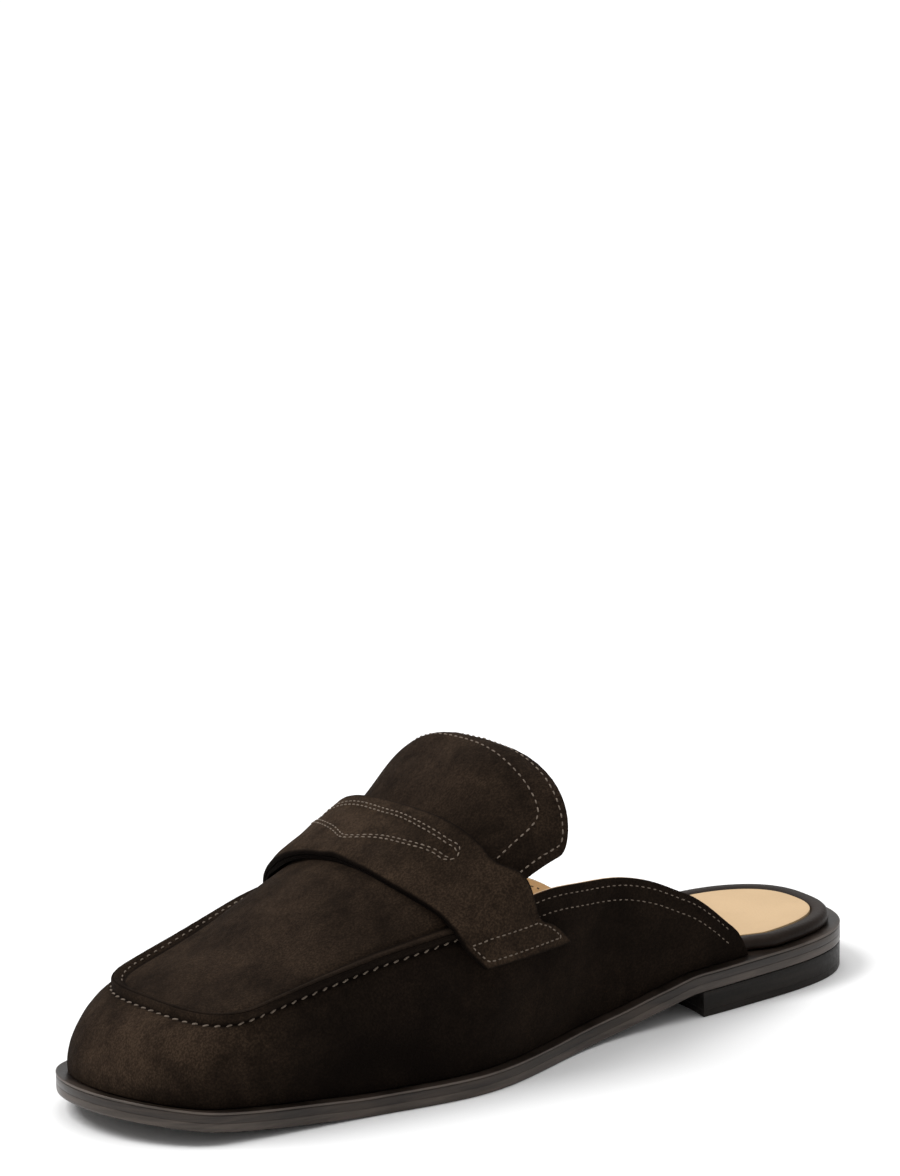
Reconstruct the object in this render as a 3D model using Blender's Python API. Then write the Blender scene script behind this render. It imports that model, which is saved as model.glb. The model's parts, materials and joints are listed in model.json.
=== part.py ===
"""Flat mule, left shoe: a suede loafer upper, open at the back, on a low stacked heel.

Metres, +Z up, +X towards the toe, +Y towards the outer side of the foot.
The shapes are worked out from the back of the heel, where x is 0, along the middle line.
Each mesh is then moved so that the origin is on the floor under the middle of the outline.
"""

import math

import bmesh
import bpy
import numpy as np

# Driving dimensions of the sole
LENGTH = 0.262
BALL_WIDTH = 0.088
OUTSOLE = 0.0059
HEEL_HEIGHT = 0.0084
HEEL_LENGTH = 0.0672
BREAST_HOLLOW = 0.0025
TOE_SPRING = 0.0069
TOE_ROUND = 0.0205
HEEL_ROUND = 0.0435
LEDGE = 0.0035
GAP = 0.0003

# Driving dimensions of the insole
RIM_SETBACK = 0.0032
RIM_WIDTH = 0.0051
RIM_HEIGHT = 0.0042
FOOTBED = 0.0026
SOCK = 0.001
TUCK = 0.012

# Driving dimensions of the upper
TONGUE_HEIGHT = 0.0855
WALL = 0.002
TONGUE_ROUND = 0.0065
PLUG_ROUND = 0.0155
RIDGE_HEIGHT = 0.0022
RIDGE_WIDTH = 0.0032
STRAP = 0.0022
STRAP_LIFT = 0.0015
TAB_HEIGHT = 0.0298

# Places along the shoe, as shares of its length
TREAD_START = 0.48
TREAD_END = 0.72
TONGUE_END = 0.4555
NOTCH = 0.573
PLUG_FRONT = 0.916
LATERAL_FOOT = 0.180
MEDIAL_FOOT = 0.257

# Roundness of the outline's ends, as powers of a rounded rectangle, and how far the toe slants
TOE_POWER = 2.05
HEEL_POWER = 2.5
PLUG_POWER = 2.7
TONGUE_POWER = 2.5
TOE_SLANT = 0.157
PLUG_SLANT = 0.16
SLANT_FROM = 0.78
TONGUE_SLANT = 0.13
TONGUE_SLANT_FROM = 0.56

# Pulls of the wall's curve, as shares of its rise: up and out from the welt, and down and out from
# its top edge, on the quarters and on the vamp. The edge also pulls out with the curve's reach
FOOT_PULL = (0.40, 0.05)
QUARTER_PULL = (0.33, 0.02)
VAMP_PULL = (0.16, 0.08)
REACH_PULL = 0.45
VAMP_FROM = (0.533, 0.673)

# The strap's way down from the crown: where it crosses the seam, how far ahead of it and under it
# the raised seam fades, and how deep under the crown its lifts point away from
SEAM_DOWN = 0.74
RIDGE_FADE = (0.035, 0.020)
LIFT_CENTRE = 0.33
HALVINGS = 12

# Stations along each round end and side, and columns across
OUTLINE_ROWS = (7, 20, 9)
HEEL_ROWS = 6
HEEL_ACROSS = 6
SOLE_COLUMNS = 4
PLUG_COLUMNS = 8
TONGUE_ROWS = (7, 5)
FRONT_ROWS = (12, 9)
QUARTER_ROWS = 14
STRAP_ROWS = (44, 8)


def table(names, *rows):
    """A table's columns by name."""
    return dict(zip(names.split(), np.array(rows, float).T))


# Half widths of the outsole, as shares of the ball width, along the length
OUTLINE = table(
    "along lateral medial",
    (0.00, 0.348, 0.341),
    (0.12, 0.335, 0.352),
    (0.25, 0.353, 0.335),
    (0.42, 0.371, 0.341),
    (0.58, 0.508, 0.420),
    (0.72, 0.462, 0.483),
    (0.85, 0.411, 0.437),
    (0.95, 0.357, 0.341),
    (1.00, 0.323, 0.307),
)

# The underside from the breast to the tread, as a share of the heel height
WAIST = table(
    "along height",
    (0.00, 0.94),
    (0.22, 0.66),
    (0.55, 0.21),
    (0.80, 0.05),
    (1.00, 0.00),
)

# The underside from the tread to the toe, as a share of the toe spring
SPRING = table(
    "along height",
    (0.00, 0.00),
    (0.30, 0.20),
    (0.65, 0.47),
    (1.00, 1.00),
)

# Edge of the outsole, floor side first: how far in, in shares of the ledge, and how high, in
# shares of the outsole's thickness. The groove parts the sole from the welt above it
SOLE_EDGE = table(
    "inset height",
    (0.36, 0.00),
    (0.10, 0.06),
    (0.00, 0.24),
    (0.00, 0.52),
    (0.13, 0.60),
    (0.03, 0.67),
    (0.03, 0.92),
    (0.16, 1.00),
)

# Edge of the heel block, in shares of the ledge and of its own height
HEEL_EDGE = table(
    "inset height",
    (0.16, 0.00),
    (0.05, 0.05),
    (0.05, 0.92),
    (0.11, 1.00),
)

# The wrapped rim of the footbed: how far in, in shares of its width, and how high, in shares of
# its height
RIM = table(
    "inset height",
    (0.10, 0.07),
    (0.00, 0.28),
    (0.03, 0.58),
    (0.19, 0.88),
    (0.46, 1.00),
    (0.79, 0.92),
    (0.97, 0.78),
)

# Plug and tongue: sections along the length. Centre and half width are shares of the ball width,
# edge and crown are heights over the sole in shares of the tongue's, round is half the arc that
# the section spans, in degrees, and box is its power: 2 is an arc, and more is fuller
SECTIONS = table(
    "along centre half edge crown round box",
    (0.447, -0.006, 0.410, 0.684, 0.945, 84, 2.50),
    (0.492, -0.008, 0.415, 0.643, 0.990, 80, 2.50),
    (0.519, -0.012, 0.420, 0.602, 0.955, 74, 2.55),
    (0.546, -0.016, 0.425, 0.544, 0.885, 67, 2.60),
    (0.573, -0.018, 0.429, 0.497, 0.812, 60, 2.60),
    (0.607, -0.018, 0.428, 0.477, 0.749, 54, 2.50),
    (0.656, -0.012, 0.413, 0.458, 0.667, 50, 2.35),
    (0.718, 0.002, 0.388, 0.435, 0.579, 48, 2.15),
    (0.786, 0.020, 0.357, 0.387, 0.461, 45, 2.00),
    (0.859, 0.028, 0.324, 0.324, 0.365, 42, 2.00),
    (0.925, 0.045, 0.275, 0.275, 0.292, 40, 2.00),
)

# Toplines of the quarters: height over the sole as a share of the tongue's, and how far the edge
# leans in from the welt as a share of the ball width. Places are shares of the stretch from the
# quarter's back end to the notch
LATERAL_TOP = table(
    "along height lean",
    (0.00, 0.018, 0.000),
    (0.025, 0.080, -0.001),
    (0.065, 0.133, -0.003),
    (0.134, 0.208, -0.005),
    (0.197, 0.268, -0.006),
    (0.248, 0.310, -0.006),
    (0.304, 0.361, -0.007),
    (0.389, 0.426, -0.009),
    (0.472, 0.474, -0.016),
    (0.557, 0.502, -0.021),
    (0.653, 0.527, -0.025),
    (0.743, 0.541, -0.011),
    (0.815, 0.537, 0.006),
    (0.900, 0.520, 0.033),
    (1.00, 0.497, 0.055),
)
MEDIAL_TOP = table(
    "along height lean",
    (0.00, 0.018, 0.000),
    (0.034, 0.080, -0.004),
    (0.082, 0.133, -0.010),
    (0.160, 0.203, -0.018),
    (0.242, 0.268, -0.023),
    (0.305, 0.308, -0.027),
    (0.384, 0.357, -0.033),
    (0.490, 0.421, -0.040),
    (0.600, 0.474, -0.046),
    (0.735, 0.515, -0.050),
    (0.870, 0.525, -0.044),
    (1.00, 0.497, -0.028),
)

# Columns up the wall, from the welt to the seam, and rings in from the plug's edge as shares of
# the ridge's width
WALL_COLUMNS = (0.0, 0.14, 0.30, 0.47, 0.64, 0.79, 0.89, 0.95, 1.0)
PLUG_RINGS = (0.0, 0.35, 0.8, 1.4)

# Height of the raised seam against the distance from it, in shares of its own height and width
RIDGE = table(
    "away plug wall",
    (0.00, 1.00, 1.00),
    (0.35, 0.72, 0.92),
    (0.80, 0.12, 0.45),
    (1.40, 0.00, 0.06),
    (2.20, 0.00, 0.00),
)

# Edges of the saddle strap along the shoe, in shares of its length, from the crown, where down is
# 0, over the seam to the end of the tab
STRAP_EDGES = table(
    "down lateral_front lateral_rear medial_front medial_rear",
    (0.00, 0.6665, 0.5830, 0.6665, 0.5830),
    (0.18, 0.6605, 0.5620, 0.6745, 0.5865),
    (0.35, 0.6520, 0.5400, 0.6835, 0.5865),
    (0.49, 0.6390, 0.5310, 0.6840, 0.5820),
    (0.62, 0.6235, 0.5245, 0.6805, 0.5740),
    (0.74, 0.6110, 0.5110, 0.6740, 0.5660),
    (0.86, 0.6015, 0.4935, 0.6640, 0.5520),
    (1.00, 0.5820, 0.4600, 0.6500, 0.5300),
)

# Places on the section that the strap follows: how far down its length, and where that is on the
# plug, from crown 0 to seam 1, or on the wall, from seam 1 to the tab's end 0. Then how far it
# stands off there on each side, in shares of the lift: it stands proud on the inner shoulder
STRAP_KEYS = table(
    "down plug wall lateral medial",
    (0.00, 0.00, 1.0, 0.6, 0.6),
    (0.19, 0.26, 1.0, 0.4, 1.2),
    (0.38, 0.52, 1.0, 0.3, 1.7),
    (0.56, 0.77, 1.0, 0.5, 1.4),
    (0.68, 0.93, 1.0, 1.0, 1.1),
    (0.76, 1.00, 0.90, 1.1, 0.8),
    (0.87, 1.00, 0.50, 0.5, 0.4),
    (1.00, 1.00, 0.00, 0.3, 0.3),
)


def smooth(x, xs, ys):
    """Natural cubic spline through a table's points."""
    x = np.clip(x, xs[0], xs[-1])
    step = np.diff(xs)
    slope = np.diff(ys) / step
    matrix = np.eye(len(xs))
    bend = np.zeros(len(xs))
    for i in range(1, len(xs) - 1):
        matrix[i, i - 1 : i + 2] = step[i - 1], 2 * (step[i - 1] + step[i]), step[i]
        bend[i] = 6 * (slope[i] - slope[i - 1])
    bend = np.linalg.solve(matrix, bend)
    i = np.clip(np.searchsorted(xs, x, side="right") - 1, 0, len(xs) - 2)
    t = x - xs[i]
    first = slope[i] - step[i] * (2 * bend[i] + bend[i + 1]) / 6
    return ys[i] + t * (first + t * (bend[i] / 2 + t * (bend[i + 1] - bend[i]) / (6 * step[i])))


def level(x, xs, ys):
    """Monotone cubic through the points, exactly flat between two equal values."""
    x = np.clip(x, xs[0], xs[-1])
    step = np.diff(xs)
    slope = np.diff(ys) / step
    tangent = np.concatenate([slope[:1], np.zeros(len(xs) - 2), slope[-1:]])
    for i in range(1, len(xs) - 1):
        if slope[i - 1] * slope[i] > 0:
            tangent[i] = 2 * slope[i - 1] * slope[i] / (slope[i - 1] + slope[i])
    i = np.clip(np.searchsorted(xs, x, side="right") - 1, 0, len(xs) - 2)
    t = (x - xs[i]) / step[i]
    rise = t * t * (3 - 2 * t)
    start = t * (1 - t) ** 2 * step[i] * tangent[i]
    end = t * t * (t - 1) * step[i] * tangent[i + 1]
    return ys[i] + (ys[i + 1] - ys[i]) * rise + start + end


def ease(x, start, end):
    """Rises smoothly from 0 at start to 1 at end."""
    t = np.clip((x - start) / (end - start), 0, 1)
    return t * t * (3 - 2 * t)


def underside(x):
    """Height of the outsole's underside."""
    tread, toe = TREAD_START * LENGTH, TREAD_END * LENGTH
    waist = HEEL_LENGTH + (tread - HEEL_LENGTH) * WAIST["along"]
    spring = toe + (LENGTH - toe) * SPRING["along"]
    xs = np.concatenate([[0], waist, spring])
    zs = np.concatenate(
        [[HEEL_HEIGHT], HEEL_HEIGHT * WAIST["height"], TOE_SPRING * SPRING["height"]]
    )
    return level(x, xs, zs)


def topside(x):
    """Height of the outsole's top face."""
    return underside(x) + OUTSOLE


def half_width(x, side):
    """Half width of the outsole on the outer side, 1, or the inner side, -1."""
    column = OUTLINE["lateral"] if side > 0 else OUTLINE["medial"]
    return BALL_WIDTH * smooth(x / LENGTH, OUTLINE["along"], column)


def slanted(x, y, slant):
    """x with the toe cut at a slant, further forward on the inner side."""
    return x - slant * y * ease(x, SLANT_FROM * LENGTH, LENGTH)


def plug_slanted(x, y):
    """x with both ends of the plug cut at a slant, further forward on the inner side."""
    back = ease(TONGUE_SLANT_FROM * LENGTH - x, 0, (TONGUE_SLANT_FROM - TONGUE_END) * LENGTH)
    return slanted(x, y, PLUG_SLANT) - TONGUE_SLANT * y * back


def run(start, sides, end, powers, counts):
    """Stations from one rounded end to the other and, at each, the share of the full width.

    The round ends are rounded rectangles: the two shares, along and across, are powers of the
    cosine and sine of an angle that turns through 90 degrees.
    """
    first = np.linspace(0, math.pi / 2, counts[0] + 1)[:-1]
    last = np.linspace(0, math.pi / 2, counts[1] + 1)[1:]
    x = [
        sides[0] - (sides[0] - start) * np.cos(first) ** (2 / powers[0]),
        sides,
        sides[-1] + (end - sides[-1]) * np.sin(last) ** (2 / powers[1]),
    ]
    share = [
        np.sin(first) ** (2 / powers[0]),
        np.ones(len(sides)),
        np.clip(np.cos(last), 0, 1) ** (2 / powers[1]),
    ]
    return np.concatenate(x), np.concatenate(share)


def both_sides(lateral, medial):
    """A closed ring: the back's middle, the outer side, the toe's middle, the inner side."""
    return np.concatenate([lateral, medial[-2:0:-1]])


def outline(inset, height):
    """The outsole's outline moved in by inset(x, side), at height(x), as a ring of points."""
    rows = OUTLINE_ROWS
    sides = np.linspace(HEEL_ROUND, LENGTH - TOE_ROUND, rows[1] + 1)
    ends = inset(0.0, 1), LENGTH - inset(LENGTH, 1)
    x, share = run(ends[0], sides, ends[1], (HEEL_POWER, TOE_POWER), (rows[0], rows[2]))
    halves = []
    for side in (1, -1):
        y = side * share * (half_width(x, side) - inset(x, side))
        halves.append(np.stack([slanted(x, y, TOE_SLANT), y, height(x)], axis=1))
    return both_sides(*halves)


def even(amount):
    """An inset that is the same all round."""
    return lambda x, side: amount + 0 * x


def footbed_inset(extra):
    """Inset of the footbed: at the heel its rim shows, and forward it lies inside the upper."""
    inside = LEDGE + WALL + 3 * GAP

    def inset(x, side):
        foot = LENGTH * (LATERAL_FOOT if side > 0 else MEDIAL_FOOT)
        tucked = ease(x, foot - TUCK, foot - TUCK / 8)
        return RIM_SETBACK + (inside - RIM_SETBACK) * tucked + extra

    return inset


def middle():
    """The middle of the outline's box, which becomes the origin."""
    ring = outline(even(0.0), topside)
    return (ring.min(axis=0) + ring.max(axis=0)) / 2 * (1, 1, 0)


def add_piece(name, points, faces, colour, roughness, coat=0.0):
    """A named object with its own material, moved so that the shoe's origin is in the middle."""
    mesh = bpy.data.meshes.new(name)
    mesh.from_pydata((points - middle()).tolist(), [], faces)
    shape = bmesh.new()
    shape.from_mesh(mesh)
    bmesh.ops.recalc_face_normals(shape, faces=shape.faces)
    shape.to_mesh(mesh)
    shape.free()
    mesh.shade_smooth()
    mesh.set_sharp_from_angle(angle=math.radians(40))
    material = bpy.data.materials.new(name)
    material.use_nodes = True
    shader = material.node_tree.nodes["Principled BSDF"]
    shader.inputs["Base Color"].default_value = (*colour, 1)
    shader.inputs["Roughness"].default_value = roughness
    shader.inputs["Coat Weight"].default_value = coat
    mesh.materials.append(material)
    piece = bpy.data.objects.new(name, mesh)
    bpy.data.collections["flat_mule"].objects.link(piece)
    return piece


def strip(faces, a, b):
    """Quads between two rows of points, or a fan where one row is a single point."""
    if len(a) == 1:
        faces += [(a[0], b[j], b[j + 1]) for j in range(len(b) - 1)]
    elif len(b) == 1:
        faces += [(a[j], a[j + 1], b[0]) for j in range(len(a) - 1)]
    else:
        faces += [(a[j], a[j + 1], b[j + 1], b[j]) for j in range(len(a) - 1)]


def fill(points, faces, ring, columns, flat=0, place=None):
    """Fills a ring of paired points with rows across it. place(points) may move the new ones.

    The ring ends in a point or, where flat is the columns, in a straight row of that many edges.
    """
    last = (len(ring) - flat) // 2
    rows = [[ring[0]]]
    new = []
    for i in range(1, last):
        left, right = ring[i], ring[-i]
        shares = np.arange(1, columns) / columns
        first = len(points) + len(new)
        new += [points[left] * (1 - s) + points[right] * s for s in shares]
        rows.append([left, *range(first, first + columns - 1), right])
    rows.append(ring[last : last + flat + 1])
    for a, b in zip(rows, rows[1:]):
        strip(faces, a, b)
    new = np.array(new)
    return np.concatenate([points, place(new) if place else new])


def solid_of_rings(rings, columns, flat=0):
    """A closed solid: rings from the bottom to the top, with both ends filled."""
    size = len(rings[0])
    points = np.concatenate(rings)
    faces = []
    for k in range(len(rings) - 1):
        low = [k * size + i for i in range(size)] + [k * size]
        high = [i + size for i in low]
        strip(faces, low, high)
    for k in (0, len(rings) - 1):
        points = fill(points, faces, [k * size + i for i in range(size)], columns, flat)
    return points, faces


def shell(outer, inner, faces):
    """A closed wall between two sheets of the same faces, with a rim along every open edge."""
    used = {}
    for face in faces:
        for a, b in zip(face, (*face[1:], face[0])):
            used[(a, b)] = used.get((a, b), 0) + 1
    size = len(outer)
    rim = [(b, a, a + size, b + size) for a, b in used if (b, a) not in used]
    back = [tuple(i + size for i in face[::-1]) for face in faces]
    return np.concatenate([outer, inner]), [*faces, *back, *rim]


def normals(points, faces):
    """The unit normal at each point of a sheet, from the faces around it."""
    total = np.zeros_like(points)
    for face in faces:
        for k in range(1, len(face) - 1):
            a, b, c = points[face[0]], points[face[k]], points[face[k + 1]]
            cross = np.cross(b - a, c - a)
            for i in (face[0], face[k], face[k + 1]):
                total[i] += cross
    return total / np.linalg.norm(total, axis=1)[:, None]


def build_outsole():
    """Outsole and welt in one: its edge has a groove, and its top a ledge round the upper."""
    rings = []
    for inset, height in zip(SOLE_EDGE["inset"], SOLE_EDGE["height"]):
        rings.append(outline(even(LEDGE * inset), lambda x, h=height: underside(x) + OUTSOLE * h))
    points, faces = solid_of_rings(rings, SOLE_COLUMNS)
    add_piece("outsole", points, faces, (0.035, 0.022, 0.015), 0.35, 0.2)


def build_heel_block():
    """Low heel: the outline up to the breast, which is cut straight across and a little hollow."""
    turn = np.linspace(0, math.pi / 2, OUTLINE_ROWS[0] + 1)[:-1]
    rings = []
    for inset, height in zip(HEEL_EDGE["inset"], HEEL_EDGE["height"]):
        moved = LEDGE * inset
        back = HEEL_ROUND - (HEEL_ROUND - moved) * np.cos(turn) ** (2 / HEEL_POWER)
        sides = np.linspace(HEEL_ROUND, HEEL_LENGTH - moved, HEEL_ROWS)
        x = np.concatenate([back, sides])
        share = np.append(np.sin(turn) ** (2 / HEEL_POWER), np.ones(len(sides)))
        lateral = share * (half_width(x, 1) - moved)
        medial = -share * (half_width(x, -1) - moved)
        breast_y = np.linspace(lateral[-1], medial[-1], HEEL_ACROSS + 1)[1:-1]
        swing = 1 - (breast_y / lateral[-1]) ** 2
        breast_x = HEEL_LENGTH - moved - BREAST_HOLLOW * np.clip(swing, 0, 1)
        ring_x = np.concatenate([x, breast_x, x[:0:-1]])
        ring_y = np.concatenate([lateral, breast_y, medial[:0:-1]])
        ring_z = height * (underside(ring_x) - 1.5 * GAP)
        rings.append(np.stack([ring_x, ring_y, ring_z], axis=1))
    points, faces = solid_of_rings(rings, HEEL_ACROSS, HEEL_ACROSS)
    add_piece("heel_block", points, faces, (0.030, 0.020, 0.014), 0.4, 0.15)


def build_footbed():
    """Insole board with its wrapped rim, and a shallow bed inside the rim for the sock."""
    rings = []
    for inset, height in zip(RIM["inset"], RIM["height"]):
        rings.append(
            outline(
                footbed_inset(RIM_WIDTH * inset),
                lambda x, h=height: topside(x) + max(RIM_HEIGHT * h, GAP),
            )
        )
    rings.append(outline(footbed_inset(RIM_WIDTH), lambda x: topside(x) + FOOTBED))
    points, faces = solid_of_rings(rings, SOLE_COLUMNS)
    add_piece("footbed", points, faces, (0.030, 0.018, 0.012), 0.3, 0.4)


def build_sock_lining():
    """Thin sock that lies in the bed inside the rim."""
    inset = footbed_inset(RIM_WIDTH + GAP)
    rings = [outline(inset, lambda x, up=up: topside(x) + FOOTBED + GAP + up) for up in (0.0, SOCK)]
    points, faces = solid_of_rings(rings, SOLE_COLUMNS)
    add_piece("sock_lining", points, faces, (0.62, 0.38, 0.18), 0.45)


def section(x):
    """Centre, half width, edge height, crown height, half arc and power of the section at x."""
    along = SECTIONS["along"]
    share = x / LENGTH
    centre = BALL_WIDTH * smooth(share, along, SECTIONS["centre"])
    half = BALL_WIDTH * smooth(share, along, SECTIONS["half"])
    edge = TONGUE_HEIGHT * smooth(share, along, SECTIONS["edge"])
    crown = TONGUE_HEIGHT * smooth(share, along, SECTIONS["crown"])
    arc = np.radians(smooth(share, along, SECTIONS["round"]))
    return centre, half, edge, crown, arc, smooth(share, along, SECTIONS["box"])


def plug_point(x, across):
    """A point of plug or tongue: each section is an arc from seam to seam, across -1 to 1.

    The sine and cosine of the arc's angle are raised to 2 over the power, which makes it fuller.
    """
    centre, half, edge, crown, arc, power = section(x)
    angle = across * arc
    y = centre + half * np.sign(angle) * (np.abs(np.sin(angle)) / np.sin(arc)) ** (2 / power)
    end = np.cos(arc) ** (2 / power)
    lift = (np.cos(angle) ** (2 / power) - end) / (1 - end)
    z = topside(x) + edge + (crown - edge) * lift
    return np.stack([plug_slanted(x, y), y, z], axis=-1)


def plug_ring(inset):
    """The plug's edge, or a ring inset from it, from the tongue's end round the toe and back."""
    side = np.concatenate(
        [
            np.linspace(TONGUE_END * LENGTH + TONGUE_ROUND, NOTCH * LENGTH, TONGUE_ROWS[1] + 1),
            np.linspace(NOTCH * LENGTH, PLUG_FRONT * LENGTH - PLUG_ROUND, FRONT_ROWS[0] + 1)[1:],
        ]
    )
    x, share = run(
        TONGUE_END * LENGTH + inset,
        side,
        PLUG_FRONT * LENGTH - inset,
        (TONGUE_POWER, PLUG_POWER),
        (TONGUE_ROWS[0], FRONT_ROWS[1]),
    )
    _, half, edge, crown, _, _ = section(x)
    across = share * (1 - inset / np.hypot(half, crown - edge))
    return both_sides(plug_point(x, across), plug_point(x, -across)), both_sides(x, x)


def topline(x, side):
    """Edge of a quarter at x, shifted a little so that it meets the plug at the notch."""
    column = LATERAL_TOP if side > 0 else MEDIAL_TOP
    foot = LENGTH * (LATERAL_FOOT if side > 0 else MEDIAL_FOOT)
    notch = NOTCH * LENGTH
    share = (x - foot) / (notch - foot)
    lean = BALL_WIDTH * smooth(share, column["along"], column["lean"])
    height = TONGUE_HEIGHT * smooth(share, column["along"], column["height"])
    y = side * (half_width(x, side) - LEDGE - lean)
    target = plug_point(np.array(notch), float(side))
    ending = side * (half_width(notch, side) - LEDGE - BALL_WIDTH * column["lean"][-1])
    ending_z = topside(notch) + TONGUE_HEIGHT * column["height"][-1]
    near = ease(share, 0.4, 1.0)
    y = y + near * (target[1] - ending)
    z = topside(x) + height + near * (target[2] - ending_z)
    return np.stack([x + 0 * y, y, z], axis=-1)


def foot_place(x, side):
    """Where the wall's foot is for a point x of its top edge: it runs ahead towards the toe."""
    notch, top_end = NOTCH * LENGTH, PLUG_FRONT * LENGTH - PLUG_ROUND
    ahead = (LENGTH - TOE_ROUND - top_end) * np.clip((x - notch) / (top_end - notch), 0, 1) ** 2
    return foot_point(x + ahead, 1.0, side)


def foot_point(x, share, side):
    """A point on the welt where the wall stands, share of the full width from the middle."""
    y = side * share * (half_width(x, side) - LEDGE)
    return np.stack([slanted(x, y, TOE_SLANT), y, topside(x) + GAP], axis=-1)


def wall_curve(top, foot, out, x, t):
    """A point up the wall, t from 0 at the welt to 1 at the top edge, on a cubic Bezier curve.

    It leaves the welt almost upright, bulges a little, and rounds over to meet the plug.
    """
    rise = (top - foot)[..., 2]
    reach = np.clip(-((top - foot) * out).sum(axis=-1), 0, None)
    vamp = ease(x / LENGTH, *VAMP_FROM)
    down, pull = (a + (b - a) * vamp for a, b in zip(QUARTER_PULL, VAMP_PULL))
    up = np.array([0.0, 0.0, 1.0])
    low = foot + (up * FOOT_PULL[0] + out * FOOT_PULL[1]) * rise[..., None]
    high = top - up * (down * rise)[..., None]
    high = high + out * (REACH_PULL * reach + pull * rise)[..., None]
    t = t[..., None]
    s = 1 - t
    return s**3 * foot + 3 * s * s * t * low + 3 * s * t * t * high + t**3 * top


def side_wall(x, side, t):
    """A point up the wall on one side, at x along the shoe, behind the toe's round corner."""
    edge = plug_point(np.maximum(x, NOTCH * LENGTH), side + 0.0 * x)
    back = topline(np.minimum(x, NOTCH * LENGTH), side)
    top = np.where((x < NOTCH * LENGTH)[..., None], back, edge)
    foot = foot_place(x, side)
    ahead = foot_place(x + WALL, side)
    along = (ahead - foot) * (1, 1, 0)
    along = along / np.linalg.norm(along, axis=-1)[..., None]
    out = side * np.stack([-along[..., 1], along[..., 0], 0 * along[..., 0]], axis=-1)
    return wall_curve(top, foot, out, x, t)


def wall_edges():
    """Top edge, foot, outward direction and place along the shoe, from the outer quarter's back
    end round the toe to the inner quarter's back end."""
    ring, along = plug_ring(0.0)
    first, last = sum(TONGUE_ROWS), len(ring) - sum(TONGUE_ROWS)
    tops, feet, places = [], [], []
    turn = np.linspace(0, math.pi / 2, FRONT_ROWS[1] + 1)[1:]
    toe_start = LENGTH - TOE_ROUND
    toe_x = toe_start + (TOE_ROUND - LEDGE) * np.sin(turn) ** (2 / TOE_POWER)
    toe_share = np.clip(np.cos(turn), 0, 1) ** (2 / TOE_POWER)
    for side, start in ((1, LATERAL_FOOT), (-1, MEDIAL_FOOT)):
        quarter = np.linspace(start * LENGTH, NOTCH * LENGTH, QUARTER_ROWS + 1)[:-1]
        front = along[first : first + FRONT_ROWS[0] + 1]
        foot = [foot_place(quarter, side), foot_place(front, side)]
        foot.append(foot_point(toe_x, toe_share, side))
        feet.append(np.concatenate(foot))
        tops.append(topline(quarter, side))
        places.append(np.concatenate([quarter, along[first : len(ring) // 2 + 1]]))
    top = np.concatenate([tops[0], ring[first : last + 1], tops[1][::-1]])
    foot = np.concatenate([feet[0], feet[1][-2::-1]])
    place = np.concatenate([places[0], places[1][-2::-1]])
    along = np.gradient(foot, axis=0) * (1, 1, 0)
    along /= np.linalg.norm(along, axis=1)[:, None]
    out = np.stack([-along[:, 1], along[:, 0], 0 * along[:, 0]], axis=1)
    return top, foot, out, place


def ridge_at(place, side):
    """How far the seam stands up at a place along it: the strap presses it flat behind its edge."""
    edge = STRAP_EDGES["lateral_front" if side > 0 else "medial_front"]
    front = smooth(SEAM_DOWN, STRAP_EDGES["down"], edge)
    return RIDGE_HEIGHT * ease(place / LENGTH, front - RIDGE_FADE[0], front + RIDGE_FADE[1])


def upper_sheet():
    """Points, faces and height of the raised seam of the upper's outer sheet."""
    rings = [plug_ring(RIDGE_WIDTH * share) for share in PLUG_RINGS]
    size = len(rings[0][0])
    points = np.concatenate([ring for ring, _ in rings])
    along = rings[0][1]
    lateral = np.arange(size) <= size // 2
    ridge = np.where(lateral, ridge_at(along, 1), ridge_at(along, -1))
    raised = [ridge * smooth(share, RIDGE["away"], RIDGE["plug"]) for share in PLUG_RINGS]
    raised = np.concatenate(raised)
    faces = []
    for k in range(len(rings) - 1):
        outer = [k * size + i for i in range(size)] + [k * size]
        strip(faces, outer, [i + size for i in outer])

    last = (len(rings) - 1) * size
    inner_x, inner_half = rings[-1][1], size // 2

    def place(new):
        """Puts the points between two sides back on the arc of their section."""
        rows = np.repeat(np.arange(1, inner_half), PLUG_COLUMNS - 1)
        shares = np.tile(np.arange(1, PLUG_COLUMNS) / PLUG_COLUMNS, inner_half - 1)
        x = inner_x[rows]
        across = plug_across(rows, PLUG_RINGS[-1] * RIDGE_WIDTH)
        return plug_point(x, across * (1 - 2 * shares))

    points = fill(points, faces, [last + i for i in range(size)], PLUG_COLUMNS, place=place)
    raised = np.append(raised, np.zeros(len(points) - len(raised)))

    top, foot, out, along = wall_edges()
    first = len(points)
    count = len(top)
    columns = []
    for t in WALL_COLUMNS[:-1]:
        columns.append(wall_curve(top, foot, out, along, np.full(count, t)))
    points = np.concatenate([points, *columns])
    ids = [[first + k * count + i for i in range(count)] for k in range(len(columns))]
    seam = range(sum(TONGUE_ROWS), size - sum(TONGUE_ROWS) + 1)
    extra = len(points)
    quarter = QUARTER_ROWS
    points = np.concatenate([points, top[:quarter], top[count - quarter :]])
    ids.append(
        [*range(extra, extra + quarter), *seam, *range(extra + quarter, extra + 2 * quarter)]
    )
    for low, high in zip(ids, ids[1:]):
        strip(faces, low, high)
    away = [np.linalg.norm(top - column, axis=1) / RIDGE_WIDTH for column in columns]
    inside = np.zeros(count)
    inside[quarter : count - quarter] = 1
    lateral = np.arange(count) <= count // 2
    ridge = inside * np.where(lateral, ridge_at(along, 1), ridge_at(along, -1))
    for share in away:
        height = ridge * smooth(share, RIDGE["away"], RIDGE["wall"])
        raised = np.append(raised, height)
    raised = np.append(raised, np.zeros(2 * quarter))
    return points, faces, raised


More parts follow.
